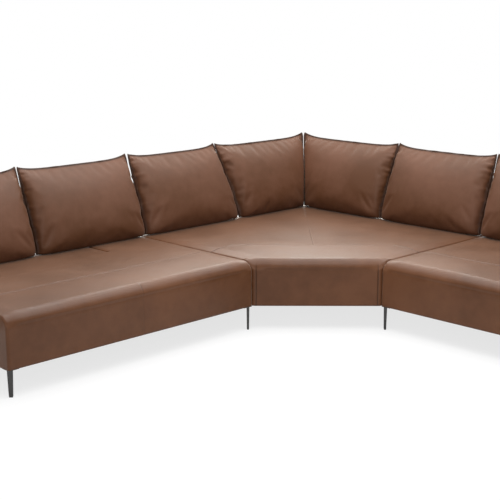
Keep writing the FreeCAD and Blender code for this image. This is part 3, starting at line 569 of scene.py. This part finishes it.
def soften(bm, plan, front, seams, slots):
    """Crown and swell the cover, sink its seams and draw it down at the slits' lips; note each
    corner's place by the seams for their painted shade.
    """
    bm.normal_update()
    stitch = bm.verts.layers.float_vector.new("stitch_line")
    lips = [rectangle(*slot) + [(slot[0], slot[2])] for slot in slots]
    moves = []
    for vert in bm.verts:
        x, y, z = vert.co
        depths = inside_by(x, y, plan)
        upper = ease((z - SEAT_TOP + FRONT_ROLL) / FRONT_ROLL)
        seam, run, strength = 1.0, 0.0, 0.0
        for on_front, on_top, line in seams:
            away, along = off_line(x, y, line)
            shown = on_front + (on_top - on_front) * upper
            if away < seam and shown > 0.02:
                seam, run, strength = away, along, shown
        # How far the nearest seam is, how far along it, and how strongly it shows, for its painted
        # shade in the leather
        vert[stitch] = (seam, run, strength)
        inner = min(depths) > 0.0035 and z < CEILING + 0.001
        if inner or z < SEAT_LOW + 0.002:
            moves.append(Vector())
            continue
        groove = WELT_HIGH * near(seam - WELT_AWAY, WELT_HALF)
        groove -= GROOVE_DEEP * near(seam, GROOVE_HALF)
        gather = noise.noise(Vector((run * 38, seam * 20, 3.1)))
        pucker = GATHER_HIGH * near(seam, GATHER_REACH) * gather
        fade = strength * ease((z - SEAT_LOW) / 0.02)
        broad = Vector((x * 3.1, y * 3.1, z * 3.1)) + Vector((4.2, 1.7, 0.3))
        swell = BROAD_SWELL * noise.noise(broad)
        swell += FINE_SWELL * noise.noise(Vector((x * 11.0, y * 11.0, z * 11.0)))
        offset = fade * groove + fade * pucker
        if vert.normal.z > 0.3:
            from_ends = min(depth for i, depth in enumerate(depths) if i != front)
            from_front = depths[front]
            crown = CROWN * ease((0.66 - from_front) / 0.25) * ease(from_ends / 0.10)
            drop = END_DROP * (1 - ease(from_ends / END_REACH))
            slit = sum(LIP_DROP * near(off_line(x, y, lip)[0], LIP_HALF) for lip in lips)
            offset += swell + crown - drop - slit
            if from_front > DEPTH - STANDS and z > SEAT_TOP - 1e-4:
                offset = min(offset, 0.0)
        else:
            offset += swell * WALL_SWELL - WALL_DRAW
        moves.append(vert.normal * offset)
    for vert, move in zip(bm.verts, moves):
        vert.co += move


def leather_seat(name, plan, front, lines, seam_cuts, seams, slots, matrix):
    """One module's cover and foam as a closed body, open below for the frame."""
    bm = seat_block(plan, front)
    for direction, low, high, marks in lines:
        slice_at(bm, direction, grid_lines(low, high, marks))
    for direction, mark, region in seam_cuts:
        slice_at(bm, direction, [mark + step for step in SEAM_STEPS], region)
    for i in range(WALL_CUTS):
        cut(bm, (0, 0, SEAT_LOW + WALL_FOOT + i * WALL_PITCH), (0, 0, 1), dist=CUT_DIST)
    for slot in slots:
        region = [bound + LIP_REACH * way for bound, way in zip(slot, (-1, 1, -1, 1))]
        for direction, low, high in (((1, 0), *slot[:2]), ((0, 1), *slot[2:])):
            steps = [low - step for step in LIP_STEPS] + [high + step for step in LIP_STEPS[::-1]]
            slice_at(bm, direction, steps, region)
    bmesh.ops.remove_doubles(bm, verts=bm.verts[:], dist=1e-4)
    hollow_out(bm, slots)
    soften(bm, plan, front, seams, slots)
    bm.transform(matrix)
    bmesh.ops.recalc_face_normals(bm, faces=bm.faces[:])
    return piece_of(bm, name, smooth=True)


SLOT_HALF = 0.007
SLOT_REAR, SLOT_FRONT = -0.068, 0.178
ARMS = (JOINT + 0.450, END - 0.450)
MIDDLE_SEAM = 2.357
# How deep each seam sinks and how dark its painted shade is, in front and on top, and its line
TWO_SEAT_SEAMS = [
    (0.7, 0.9, [(JOINT, BAND), (END, BAND)]),
    (0.15, 0.7, [(2.255, BAND), (2.355, DEPTH - 0.02), (2.358, DEPTH + 0.1)]),
]
# The corner's band turns from one wing to the other along a line square to the diagonal
CORNER_BAND = 1.930
turn = CORNER_BAND - BAND
HALF = math.sqrt(0.5)
# A strip as wide as this is sewn on at each end of the slanting front
STRIP = 0.020
short = (-0.05, 0.05)
strip_near = [
    (DEPTH + (STRIP + step) * HALF, -JOINT + (STRIP - step) * HALF) for step in short
]
strip_far = [
    (JOINT - (STRIP - step) * HALF, -DEPTH - (STRIP + step) * HALF) for step in short
]
CORNER_SEAMS = [
    (0.7, 1.0, [(BAND, -JOINT), (BAND, -turn), (turn, -BAND), (JOINT, -BAND)]),
    (0.0, 0.35, [(0.0, 0.0), (CORNER_BAND / 2, -CORNER_BAND / 2)]),
    (1.0, 0.0, strip_near),
    (1.0, 0.0, strip_far),
]
BAND_CUTS = [
    ((1, 0), BAND, (BAND - 0.02, BAND + 0.02, -JOINT - 0.01, -turn)),
    ((0, 1), -BAND, (turn, JOINT + 0.01, -BAND - 0.02, -BAND + 0.02)),
]
seat_pieces = {}
for side in ("left", "right"):
    seat_pieces[side] = leather_seat(
        f"{side}_seat",
        rectangle(JOINT, END, BACK_MARGIN, DEPTH),
        2,
        (((1, 0), JOINT, END, (MIDDLE_SEAM,)), ((0, 1), BACK_MARGIN, DEPTH, (BAND,))),
        [],
        TWO_SEAT_SEAMS,
        [(arm - SLOT_HALF, arm + SLOT_HALF, SLOT_REAR, SLOT_FRONT) for arm in ARMS],
        WINGS[side],
    )
corner_plan = [
    (BACK_MARGIN, -JOINT),
    (DEPTH, -JOINT),
    (JOINT, -DEPTH),
    (JOINT, -BACK_MARGIN),
    (BACK_MARGIN, -BACK_MARGIN),
]
far_corner = (JOINT - BACK_MARGIN) * HALF
front_corner = (JOINT - DEPTH) * HALF
seat_pieces["corner"] = leather_seat(
    "corner_seat",
    corner_plan,
    1,
    (
        ((HALF, -HALF), -0.15, (DEPTH + JOINT) * HALF, (CORNER_BAND * HALF,)),
        ((HALF, HALF), -far_corner, far_corner, (0.0, STRIP - front_corner, front_corner - STRIP)),
    ),
    BAND_CUTS,
    CORNER_SEAMS,
    [],
    WINGS["corner"],
)
for module, piece in seat_pieces.items():
    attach(piece, "seat_base")
    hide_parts(f"{module}_seat_cover", f"{module}_seat_foam")

# Leather of the whole sofa: full-grain hide, dyed brown and lightly waxed, with a fine pebbled
# grain, soft patches of lighter colour, and painted shade: a darker line along each seam.
hide, start, end = effect(
    "hide",
    {"Dye": "Color", "Pull Up": "Color", "Patches": "Float", "Grain": "Float", "Gloss": "Float"},
    SURFACE,
)
place = add(hide, "TexCoord").outputs["Object"]
patch = speckle(hide, place, 2.3, 3.0, Roughness=0.55)
cloud = speckle(hide, place, 17.0, 4.0, Roughness=0.6)
both = calc(hide, "MULTIPLY_ADD", cloud, 0.45, patch)
worn = add(hide, "MapRange", {"Value": both, "From Min": 0.54, "From Max": 0.90})
worn = calc(hide, "MULTIPLY", worn.outputs[0], start["Patches"])
pebbles = add(
    hide, "TexVoronoi", {"Vector": place, "Scale": 520.0, "Randomness": 1.0}, feature="SMOOTH_F1"
).outputs["Distance"]
pores = speckle(hide, place, 1400.0, 2.0)
creases = speckle(hide, place, 46.0, 5.0, Distortion=0.6)
height = calc(hide, "MULTIPLY_ADD", pores, 0.35, pebbles)
fine = add(
    hide, "Bump", {"Height": height, "Strength": start["Grain"], "Distance": 0.0006}, invert=True
).outputs["Normal"]
soft = add(hide, "Bump", {"Height": creases, "Strength": 0.25, "Distance": 0.0012, "Normal": fine})
dull = add(hide, "MapRange", {"Value": both, "From Min": 0.4, "To Min": 0.50, "To Max": 0.66})
dull = calc(hide, "SUBTRACT", dull.outputs[0], start["Gloss"])
give(
    hide,
    end,
    Colour=tint(hide, worn, start["Dye"], start["Pull Up"]),
    Roughness=dull,
    Normal=soft.outputs["Normal"],
)

WAX_SHEEN = {"Sheen_Roughness": 0.35, "Sheen_Tint": (1.0, 0.88, 0.76, 1)}
# Painted seam shade: how far from a seam it reaches, and how much of the colour it takes away on
# the seam
STITCH_REACH, SEAM_PAINTED_SHADE = 0.006, 0.6


def leather(name, dye, pull_up, gloss, bloom):
    """A leather material with painted shade along the piece's own stitch line."""
    material, tree, shader = finish_of(
        name, Specular_IOR_Level=0.22, Sheen_Weight=bloom, **WAX_SHEEN
    )
    dyes = {"Dye": dye, "Pull Up": pull_up}
    given = {**dyes, "Patches": 0.8, "Grain": 0.25, "Gloss": gloss}
    skin = feed(tree, hide, given, shader, ("Roughness", "Normal"))
    line = add(tree, "Attribute", attribute_name="stitch_line")
    parts = add(tree, "SeparateXYZ", {0: line.outputs["Vector"]})
    bounds = {"From Max": STITCH_REACH, "To Min": SEAM_PAINTED_SHADE, "To Max": 0.0}
    # Painted shade near the seam, scaled by how strongly the seam shows
    painted_seam_shade = add(tree, "MapRange", {"Value": parts.outputs["X"], **bounds}).outputs[0]
    shade = calc(tree, "SUBTRACT", 1.0, calc(tree, "MULTIPLY", painted_seam_shade, parts.outputs["Z"]))
    seam_shaded_colour = add(tree, "VectorMath", {0: skin.outputs["Colour"], 3: shade}, operation="SCALE")
    tree.links.new(seam_shaded_colour.outputs["Vector"], shader.inputs["Base Color"])
    return material


seat_leather = leather(
    "seat_leather", (0.079, 0.027, 0.008, 1), (0.122, 0.047, 0.019, 1), gloss=0.21, bloom=0.3
)
for piece in seat_pieces.values():
    piece.data.materials.append(seat_leather)

# Back cushions, eight loose ones that stand on the seat and lean back.
# Each is a front and a rear panel sewn together in a standing flange round the top and the
# sides, filled with feathers over foam, crowned in front and flat where it stands.
LEAN = math.radians(17)
FOOT = -0.045
SLOPE = 0.533
FLANGE, MITRE_FLANGE = 0.010, 0.0205
# Middle line of each panel, from the foot up to the seam: ahead of the lean's line, along it
FRONT_PATH = (
    (0.000, 0.000), (0.022, -0.0067), (0.041, -0.0125), (0.054, -0.013), (0.070, -0.002),
    (0.084, 0.024), (0.094, 0.062), (0.099, 0.105), (0.101, 0.155), (0.098, 0.215),
    (0.091, 0.280), (0.079, 0.350), (0.063, 0.415), (0.044, 0.466), (0.022, 0.504),
    (0.000, 0.523),
)
REAR_PATH = (
    (0.000, 0.000), (-0.018, 0.0055), (-0.033, 0.010), (-0.044, 0.017), (-0.055, 0.036),
    (-0.063, 0.065), (-0.068, 0.105), (-0.070, 0.150), (-0.070, 0.200), (-0.067, 0.255),
    (-0.061, 0.310), (-0.051, 0.370), (-0.037, 0.425), (-0.022, 0.472), (-0.009, 0.507),
    (0.000, 0.523),
)
CUSHION_PITCH = 0.0095
PANEL_LONG = 0.60
# How far the full flanks stand out over the seam, how deep the top edge dips in its middle,
# and how high its corners stand up, away from the sofa's corner and towards it
OVERHANG = 0.009
DIP, OUTER_EAR, INNER_EAR = 0.012, 0.012, 0.016
SEAM_WAVE = 0.004
SEAT_LEVEL = SEAT_TOP + 0.0004
ACROSS = Vector((1, 0, 0))
AHEAD = Vector((0, math.cos(LEAN), math.sin(LEAN)))
ALONG = Vector((0, -math.sin(LEAN), math.cos(LEAN)))


def spaced(path, count):
    """Points at equal steps along a path."""
    runs = [0.0]
    for a, b in zip(path, path[1:]):
        runs.append(runs[-1] + math.dist(a, b))
    found = []
    for i in range(count + 1):
        want = runs[-1] * i / count
        k = max(j for j in range(len(path) - 1) if runs[j] <= want + 1e-9)
        share = (want - runs[k]) / (runs[k + 1] - runs[k])
        found.append([a + (b - a) * share for a, b in zip(path[k], path[k + 1])])
    return found


def on_lean(across, ahead, along):
    """A point of a cushion, given square to its lean, in wing coordinates."""
    return Vector((across, FOOT, SEAT_TOP)) + AHEAD * ahead + ALONG * along


def cushion_panels(foot, top, seed):
    """Both panels, each a grid bent to the cushion's form, welded at the seam and the foot."""
    columns = int((top[1] - top[0]) / CUSHION_PITCH)
    rows = int(PANEL_LONG / CUSHION_PITCH)
    bm = bmesh.new()
    seam_way = bm.verts.layers.float_vector.new("seam_way")
    held = bm.verts.layers.int.new("held")
    panel = bm.faces.layers.int.new("panel")
    for number, path in enumerate((FRONT_PATH, REAR_PATH)):
        profile = spaced(path, rows)
        grid = bmesh.ops.create_grid(bm, x_segments=columns, y_segments=rows, size=0.5)
        made = set(grid["verts"])
        for vert in made:
            side = math.copysign(1.0, vert.co.x)
            reach = 1 - max(1 - abs(2 * vert.co.x), 0.0) ** 1.5
            s, q = 0.5 + 0.5 * side * reach, vert.co.y + 0.5
            line = min(int(q * rows + 0.5), rows)
            ahead, along = profile[line]
            # The side away from the corner keeps its fullness longer and overhangs its seam
            fullness = (1 - reach**12) ** 0.5 if side > 0 else (1 - reach**8) ** 0.55
            bulge = math.sqrt(4 * fullness * (1 - fullness))
            flank = OVERHANG * side * bulge * min(1.0, abs(ahead) / 0.04)
            share = fullness**0.6
            along = (SLOPE - FLANGE) * q**1.15 * (1 - share) + along * share
            level = max(along, 0.0) / SLOPE
            near_edge = foot[0] + (top[0] - foot[0]) * level + FLANGE
            far_edge = foot[1] + (top[1] - foot[1]) * level - FLANGE
            ear = (OUTER_EAR if side > 0 else INNER_EAR) * reach**6
            dip = (DIP * (1 - reach**5) - ear) * level**6
            wave = noise.noise(Vector((s * 7 + seed, q * 5, 0.7))) * SEAM_WAVE
            across = near_edge + (far_edge - near_edge) * s + flank
            spot = on_lean(across, ahead * fullness + wave * (1 - fullness), along - dip)
            if spot.z < SEAT_LEVEL or line == 0:
                spot.z = SEAT_LEVEL
            vert.co = spot
            at_side = side if reach > 1 - 1e-5 else 0
            at_top = 1 if line == rows else 0
            if at_side or at_top:
                vert[seam_way] = (at_side, at_top, 1.0)
                vert[held] = 1
            elif spot.z < SEAT_LEVEL + 1e-5:
                vert[held] = 1
        own = [face for face in bm.faces if face.verts[0] in made]
        for face in own:
            face[panel] = number
        if number == 0:
            bmesh.ops.reverse_faces(bm, faces=own)
    bmesh.ops.remove_doubles(bm, verts=bm.verts[:], dist=2e-4)
    return bm


FILL_FRAMES = 20
# The cloth may leave the cushion's own form by this much at most
CAP = 0.026
# Within this of the seam the cloth is cut ever closer to size, and by this share it is roomier
SPARE_REACH, SPARE = 0.11, 0.040
# How far the filled panels stay inside the cushion's two edges, and inside the mitre
EDGE_CLEAR, MITRE_CLEAR = 0.003, 0.004


def tree_of(verts):
    """A search tree over some corners of a mesh, by their number in it."""
    found = kdtree.KDTree(len(verts))
    for vert in verts:
        found.insert(vert.co, vert.index)
    found.balance()
    return found


def fill(bm, near_line, far_line, mitred):
    """Blow the two panels up against their seam, and keep it near the cushion's own form."""
    seam_way = bm.verts.layers.float_vector["seam_way"]
    held = bm.verts.layers.int["held"]
    bm.verts.index_update()
    bm.verts.ensure_lookup_table()
    seam_tree = tree_of([vert for vert in bm.verts if vert[seam_way].z])
    mesh = bpy.data.meshes.new("filling")
    bm.to_mesh(mesh)
    piece = bpy.data.objects.new("filling", mesh)
    bpy.context.collection.objects.link(piece)
    pins = piece.vertex_groups.new(name="pins")
    spare = piece.vertex_groups.new(name="spare")
    for vert in bm.verts:
        if vert[held]:
            pins.add([vert.index], 1.0, "REPLACE")
        nearest, away = seam_tree.find(vert.co)[1:]
        way = bm.verts[nearest][seam_way]
        # Less spare cloth along the top, so that it stays calm there
        least = 0.85 if way.y and not way.x else 0.0
        spare.add([vert.index], max(ease(away / SPARE_REACH), least), "REPLACE")
    cloth = piece.modifiers.new("filling", "CLOTH")
    settings = cloth.settings
    settings.quality = 4
    settings.mass = 0.25
    settings.air_damping = 2.0
    settings.tension_stiffness = 30
    settings.compression_stiffness = 30
    settings.shear_stiffness = 12
    settings.bending_stiffness = 4.0
    settings.effector_weights.gravity = 0.0
    settings.vertex_group_mass = "pins"
    settings.use_pressure = True
    settings.uniform_pressure_force = 4.0
    settings.vertex_group_shrink = "spare"
    settings.shrink_min = -SPARE
    settings.shrink_max = -0.006
    cloth.collision_settings.use_collision = False
    cloth.point_cache.frame_start, cloth.point_cache.frame_end = 1, FILL_FRAMES
    for number in range(1, FILL_FRAMES + 1):
        bpy.context.scene.frame_set(number)
    shown = piece.evaluated_get(bpy.context.evaluated_depsgraph_get())
    for vert, blown in zip(bm.verts, shown.data.vertices):
        step = blown.co - vert.co
        far = step.length
        if far > 1e-6 and not vert[held]:
            vert.co += step * (CAP * math.tanh(far / CAP) / far)
            vert.co.z = max(vert.co.z, SEAT_LEVEL + 0.0002)
    piece.modifiers.remove(cloth)
    bpy.data.objects.remove(piece)
    bpy.data.meshes.remove(mesh)
    bpy.context.scene.frame_set(1)
    loose = [vert for vert in bm.verts if not vert[held]]
    axes = {f"use_axis_{axis}": True for axis in "xyz"}
    for _ in range(4):
        bmesh.ops.smooth_vert(bm, verts=loose, factor=0.5, **axes)
    for vert in bm.verts:
        level = (vert.co.z - SEAT_TOP) / (SLOPE * math.cos(LEAN))
        low = near_line[0] + (near_line[1] - near_line[0]) * level + EDGE_CLEAR
        high = far_line[0] + (far_line[1] - far_line[0]) * level - EDGE_CLEAR
        if mitred:
            low = max(low, vert.co.y + MITRE_CLEAR)
        vert.co.x = min(max(vert.co.x, low), high)


# Puckers beside the seam: their height, how far in they reach, and their strength along the
# top and down the sides away from the corner and towards it
PUCKER, PUCKER_REACH = 0.0055, 0.055
TOP_PUCKERS, OUTER_PUCKERS, INNER_PUCKERS = 0.25, 2.0, 0.7
# Half the seam's thickness, what each step of the flange loses of it, how far the flange waves
# and bends out of its plane, and how far its corners stand up
SEAM_HALF, FLANGE_THINS = 0.0024, 0.0006
FLANGE_WAVE, FLANGE_BEND, FLANGE_TIP = 0.0065, 0.005, 0.004


def sew(bm, seed, mitred):
    """Puckers beside the seam, then the flange: the seam opened, drawn out and closed."""
    seam_way = bm.verts.layers.float_vector["seam_way"]
    panel = bm.faces.layers.int["panel"]
    stitch = bm.verts.layers.float_vector.new("stitch_line")
    bm.normal_update()
    bm.verts.index_update()
    bm.verts.ensure_lookup_table()
    rim = [vert for vert in bm.verts if vert[seam_way].z]
    seam_tree = tree_of(rim)
    top_corners = [vert.co.copy() for vert in rim if vert[seam_way].x and vert[seam_way].y]
    moves = []
    for vert in bm.verts:
        at, nearest, away = seam_tree.find(vert.co)
        way = bm.verts[nearest][seam_way]
        run = at.x if way.y else at.z + 3.0
        # How far the seam is and how far along it, for the painted seam shade in the leather
        vert[stitch] = (away, run, 1.0)
        pull = 0.45 + 0.9 * near(min((vert.co - spot).length for spot in top_corners), 0.18)
        fold = noise.noise(Vector((run * 48 + seed, away * 6, 0.3)))
        fold += 0.5 * noise.noise(Vector((run * 90 + seed, away * 9, 1.9)))
        rise = ease(away / 0.012) * near(away, PUCKER_REACH)
        on_seat = ease((vert.co.z - SEAT_LEVEL) / 0.03)
        strength = TOP_PUCKERS if way.y else OUTER_PUCKERS if way.x > 0 else INNER_PUCKERS
        moves.append(vert.normal * (PUCKER * pull * fold * rise * on_seat * strength))
    for vert, move in zip(bm.verts, moves):
        vert.co += move
    seam = [
        edge
        for edge in bm.edges
        if len({face[panel] for face in edge.link_faces}) == 2
        and any(vert.co.z > SEAT_LEVEL + 0.002 for vert in edge.verts)
    ]
    bmesh.ops.split_edges(bm, edges=seam)
    outer = []
    for number, side in ((0, 1), (1, -1)):
        edges = [e for e in bm.edges if e.is_boundary and e.link_faces[0][panel] == number]
        for vert in {vert for edge in edges for vert in edge.verts}:
            vert.co += AHEAD * side * SEAM_HALF
        # Drawn out in two steps, each a share of the flange's width and a little thinner
        for reach in (0.55, 0.45):
            grown = bmesh.ops.extrude_edge_only(bm, edges=edges)["geom"]
            ends = set(verts_in(grown))
            edges = [
                part
                for part in grown
                if isinstance(part, bmesh.types.BMEdge) and ends.issuperset(part.verts)
            ]
            for vert in ends:
                way = vert[seam_way]
                run = vert.co.x if way.y else vert.co.z + 3.0
                wave = noise.noise(Vector((run * 17 + seed, 5.0, 0.0))) * FLANGE_WAVE
                wide = MITRE_FLANGE if mitred and way.x < 0 else FLANGE
                bend = -FLANGE_BEND * way.x * (1 - abs(way.y))
                bend += wave * (1 - 0.5 * abs(way.x))
                vert.co += (ACROSS * way.x * wide + ALONG * way.y * FLANGE) * reach
                vert.co += AHEAD * (bend * reach - side * FLANGE_THINS)
                if way.x and way.y:
                    vert.co += ALONG * FLANGE_TIP
                # Past the seam, so each flange, the wide ones in the mitre too, takes the painted
                # seam shade in full
                vert[stitch] = (vert[stitch].x - FLANGE * reach, vert[stitch].y, 1.0)
                if mitred:
                    vert.co.x = max(vert.co.x, vert.co.y + 0.0015 + 0.001 * side)
        outer += edges
    bmesh.ops.bridge_loops(bm, edges=outer)
    bmesh.ops.holes_fill(bm, edges=[edge for edge in bm.edges if edge.is_boundary])
    for vert in bm.verts:
        vert.co.z = max(vert.co.z, SEAT_LEVEL)


# Each cushion's two edges along its wing at the foot and at the top, from the corner outwards
LAST = END - 0.040
EDGES = {
    "left": (
        ((-0.0323, 0.634), (-0.1881, 0.728)),
        ((0.660, 1.502), (0.736, 1.504)),
        ((1.509, 2.346), (1.524, 2.356)),
        ((2.354, LAST), (2.364, LAST)),
    ),
    "right": (
        ((-0.0323, 0.697), (-0.1881, 0.710)),
        ((0.705, 1.521), (0.718, 1.521)),
        ((1.529, 2.346), (1.529, 2.356)),
        ((2.354, LAST), (2.364, LAST)),
    ),
}
cushion_leather = leather(
    "cushion_leather", (0.088, 0.034, 0.014, 1), (0.130, 0.056, 0.031, 1), gloss=0.08, bloom=0.10
)
for side, edges in EDGES.items():
    for i, (back, (foot, top)) in enumerate(zip(BACKS[side], edges)):
        seed = 10.0 * i + (3.0 if side == "left" else 47.0)
        # The cushions in the corner meet in a mitre
        mitred = i == 0
        bm = cushion_panels(foot, top, seed)
        fill(bm, (foot[0], top[0]), (foot[1], top[1]), mitred)
        sew(bm, seed, mitred)
        bm.transform(WINGS[side])
        bmesh.ops.recalc_face_normals(bm, faces=bm.faces[:])
        if bm.calc_volume(signed=True) < 0:
            bmesh.ops.reverse_faces(bm, faces=bm.faces[:])
        cushion = piece_of(bm, f"{back}_cushion", cushion_leather, smooth=True)
        smoother = cushion.modifiers.new("smooth", "SUBSURF")
        smoother.levels = smoother.render_levels = 1
        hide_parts(f"cushion_{back}")
        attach(cushion, f"back_{back}" if i > 1 else "seat_base")

# Inner boards that hold the cushions up, each in a pocket at the cushion's rear.
# Birch plywood, sawn and sanded; its plies show as pale and dark lines along the cut edges.
plies, start, end = effect(
    "plies", {"Face Veneer": "Color", "Glue Line": "Color", "Through": "Vector"}, SURFACE
)
place = add(plies, "TexCoord").outputs["Object"]
through = add(plies, "VectorMath", {0: place, 1: start["Through"]}, operation="DOT_PRODUCT")
layers = calc(plies, "SINE", calc(plies, "MULTIPLY", through.outputs["Value"], 4400.0))
layers = add(plies, "MapRange", {"Value": layers, "From Min": 0.2, "From Max": 1.0})
drawn = add(plies, "VectorMath", {0: place, 1: (9.0, 9.0, 0.7)}, operation="MULTIPLY").outputs[0]
figure = speckle(plies, drawn, 26.0, 5.0, Distortion=0.4)
flecked = add(plies, "HueSaturation", {"Value": 0.86, "Color": start["Face Veneer"]})
veneer = tint(plies, figure, start["Face Veneer"], flecked.outputs["Color"])
sanded = add(plies, "MapRange", {"Value": figure, "To Min": 0.5, "To Max": 0.7})
pores = add(plies, "Bump", {"Height": figure, "Strength": 0.2, "Distance": 0.0004})
give(
    plies,
    end,
    Colour=tint(plies, layers.outputs[0], veneer, start["Glue Line"]),
    Roughness=sanded.outputs[0],
    Normal=pores.outputs["Normal"],
)

birch_colours = {"Face Veneer": (0.66, 0.50, 0.31, 1), "Glue Line": (0.36, 0.22, 0.11, 1)}
for side, backs in BACKS.items():
    through_board = (WINGS[side].to_3x3() @ AHEAD)[:]
    birch, tree, shader = finish_of(f"birch_plywood_{side}")
    feed(tree, plies, {**birch_colours, "Through": through_board}, shader, SURFACE)
    dress(birch, *(f"board_{back}" for back in backs))

# Studio: a plain pale floor that runs out to white, one large soft lamp overhead and two weak
# ones, and the camera at the height and angle of the photograph.
camera_data = bpy.data.cameras.new("camera")
camera = bpy.data.objects.new("camera", camera_data)
bpy.context.collection.objects.link(camera)
camera_data.sensor_width = 36.0
camera_data.lens = 2.187 * camera_data.sensor_width
camera.location = (3.9405, -4.4630, 1.9033)
camera.rotation_euler = (math.radians(90 - 12.69), 0, math.radians(45.26))
camera_data.clip_end = 100.0
bpy.context.scene.camera = camera

pale, tree, shader = finish_of("pale_floor", Base_Color=(0.86, 0.86, 0.86, 1), Roughness=0.9)
seen = add(tree, "LightPath")
white = add(tree, "Emission", {"Color": (1, 1, 1, 1), "Strength": 1.0})
floor_place = add(tree, "TexCoord").outputs["Object"]
from_middle = add(tree, "VectorMath", {0: floor_place}, operation="LENGTH").outputs["Value"]
fade_bounds = {"From Min": 1.8, "From Max": 3.4, "To Min": 0.75}
fade_out = add(tree, "MapRange", {"Value": from_middle, **fade_bounds}).outputs[0]
share = calc(tree, "MULTIPLY", seen.outputs["Is Camera Ray"], fade_out)
mix = add(tree, "MixShader", {0: share, 1: shader.outputs[0], 2: white.outputs[0]})
tree.links.new(mix.outputs[0], tree.nodes["Material Output"].inputs["Surface"])
bm = bmesh.new()
bmesh.ops.create_grid(bm, x_segments=1, y_segments=1, size=30.0)
floor = piece_of(bm, "floor", pale)

# The surroundings light the sofa softly, and are white where they are seen or mirrored
world = bpy.data.worlds.new("studio")
bpy.context.scene.world = world
world.use_nodes = True
tree = world.node_tree
background = tree.nodes["Background"]
seen = add(tree, "LightPath").outputs
direct = calc(tree, "MAXIMUM", seen["Is Camera Ray"], seen["Is Glossy Ray"])
direct = calc(tree, "MAXIMUM", direct, seen["Is Transmission Ray"])
strength = add(tree, "Mix", {0: direct, 2: 0.45, 3: 1.0}, data_type="FLOAT")
background.inputs["Color"].default_value = (1, 1, 1, 1)
tree.links.new(strength.outputs[0], background.inputs["Strength"])


def soft_lamp(name, spot, aim, size, power, colour=(1, 1, 1)):
    """A square area lamp turned towards a point."""
    data = bpy.data.lights.new(name, "AREA")
    data.shape, data.size, data.energy, data.color = "SQUARE", size, power, colour
    lamp = bpy.data.objects.new(name, data)
    lamp.location = spot
    lamp.rotation_euler = (Vector(aim) - Vector(spot)).to_track_quat("-Z", "Y").to_euler()
    bpy.context.collection.objects.link(lamp)


soft_lamp("overhead", (-0.3, 0.3, 3.6), (0, 0, 0.4), 4.5, 230)
soft_lamp("front_fill", (4.0, -5.5, 2.6), (0, 0, 0.5), 3.0, 75)
soft_lamp("window_behind", (-3.2, 3.2, 2.15), (0, 0, 0.4), 3.2, 125, (1.0, 0.93, 0.84))
bpy.context.scene.view_settings.view_transform = "Standard"
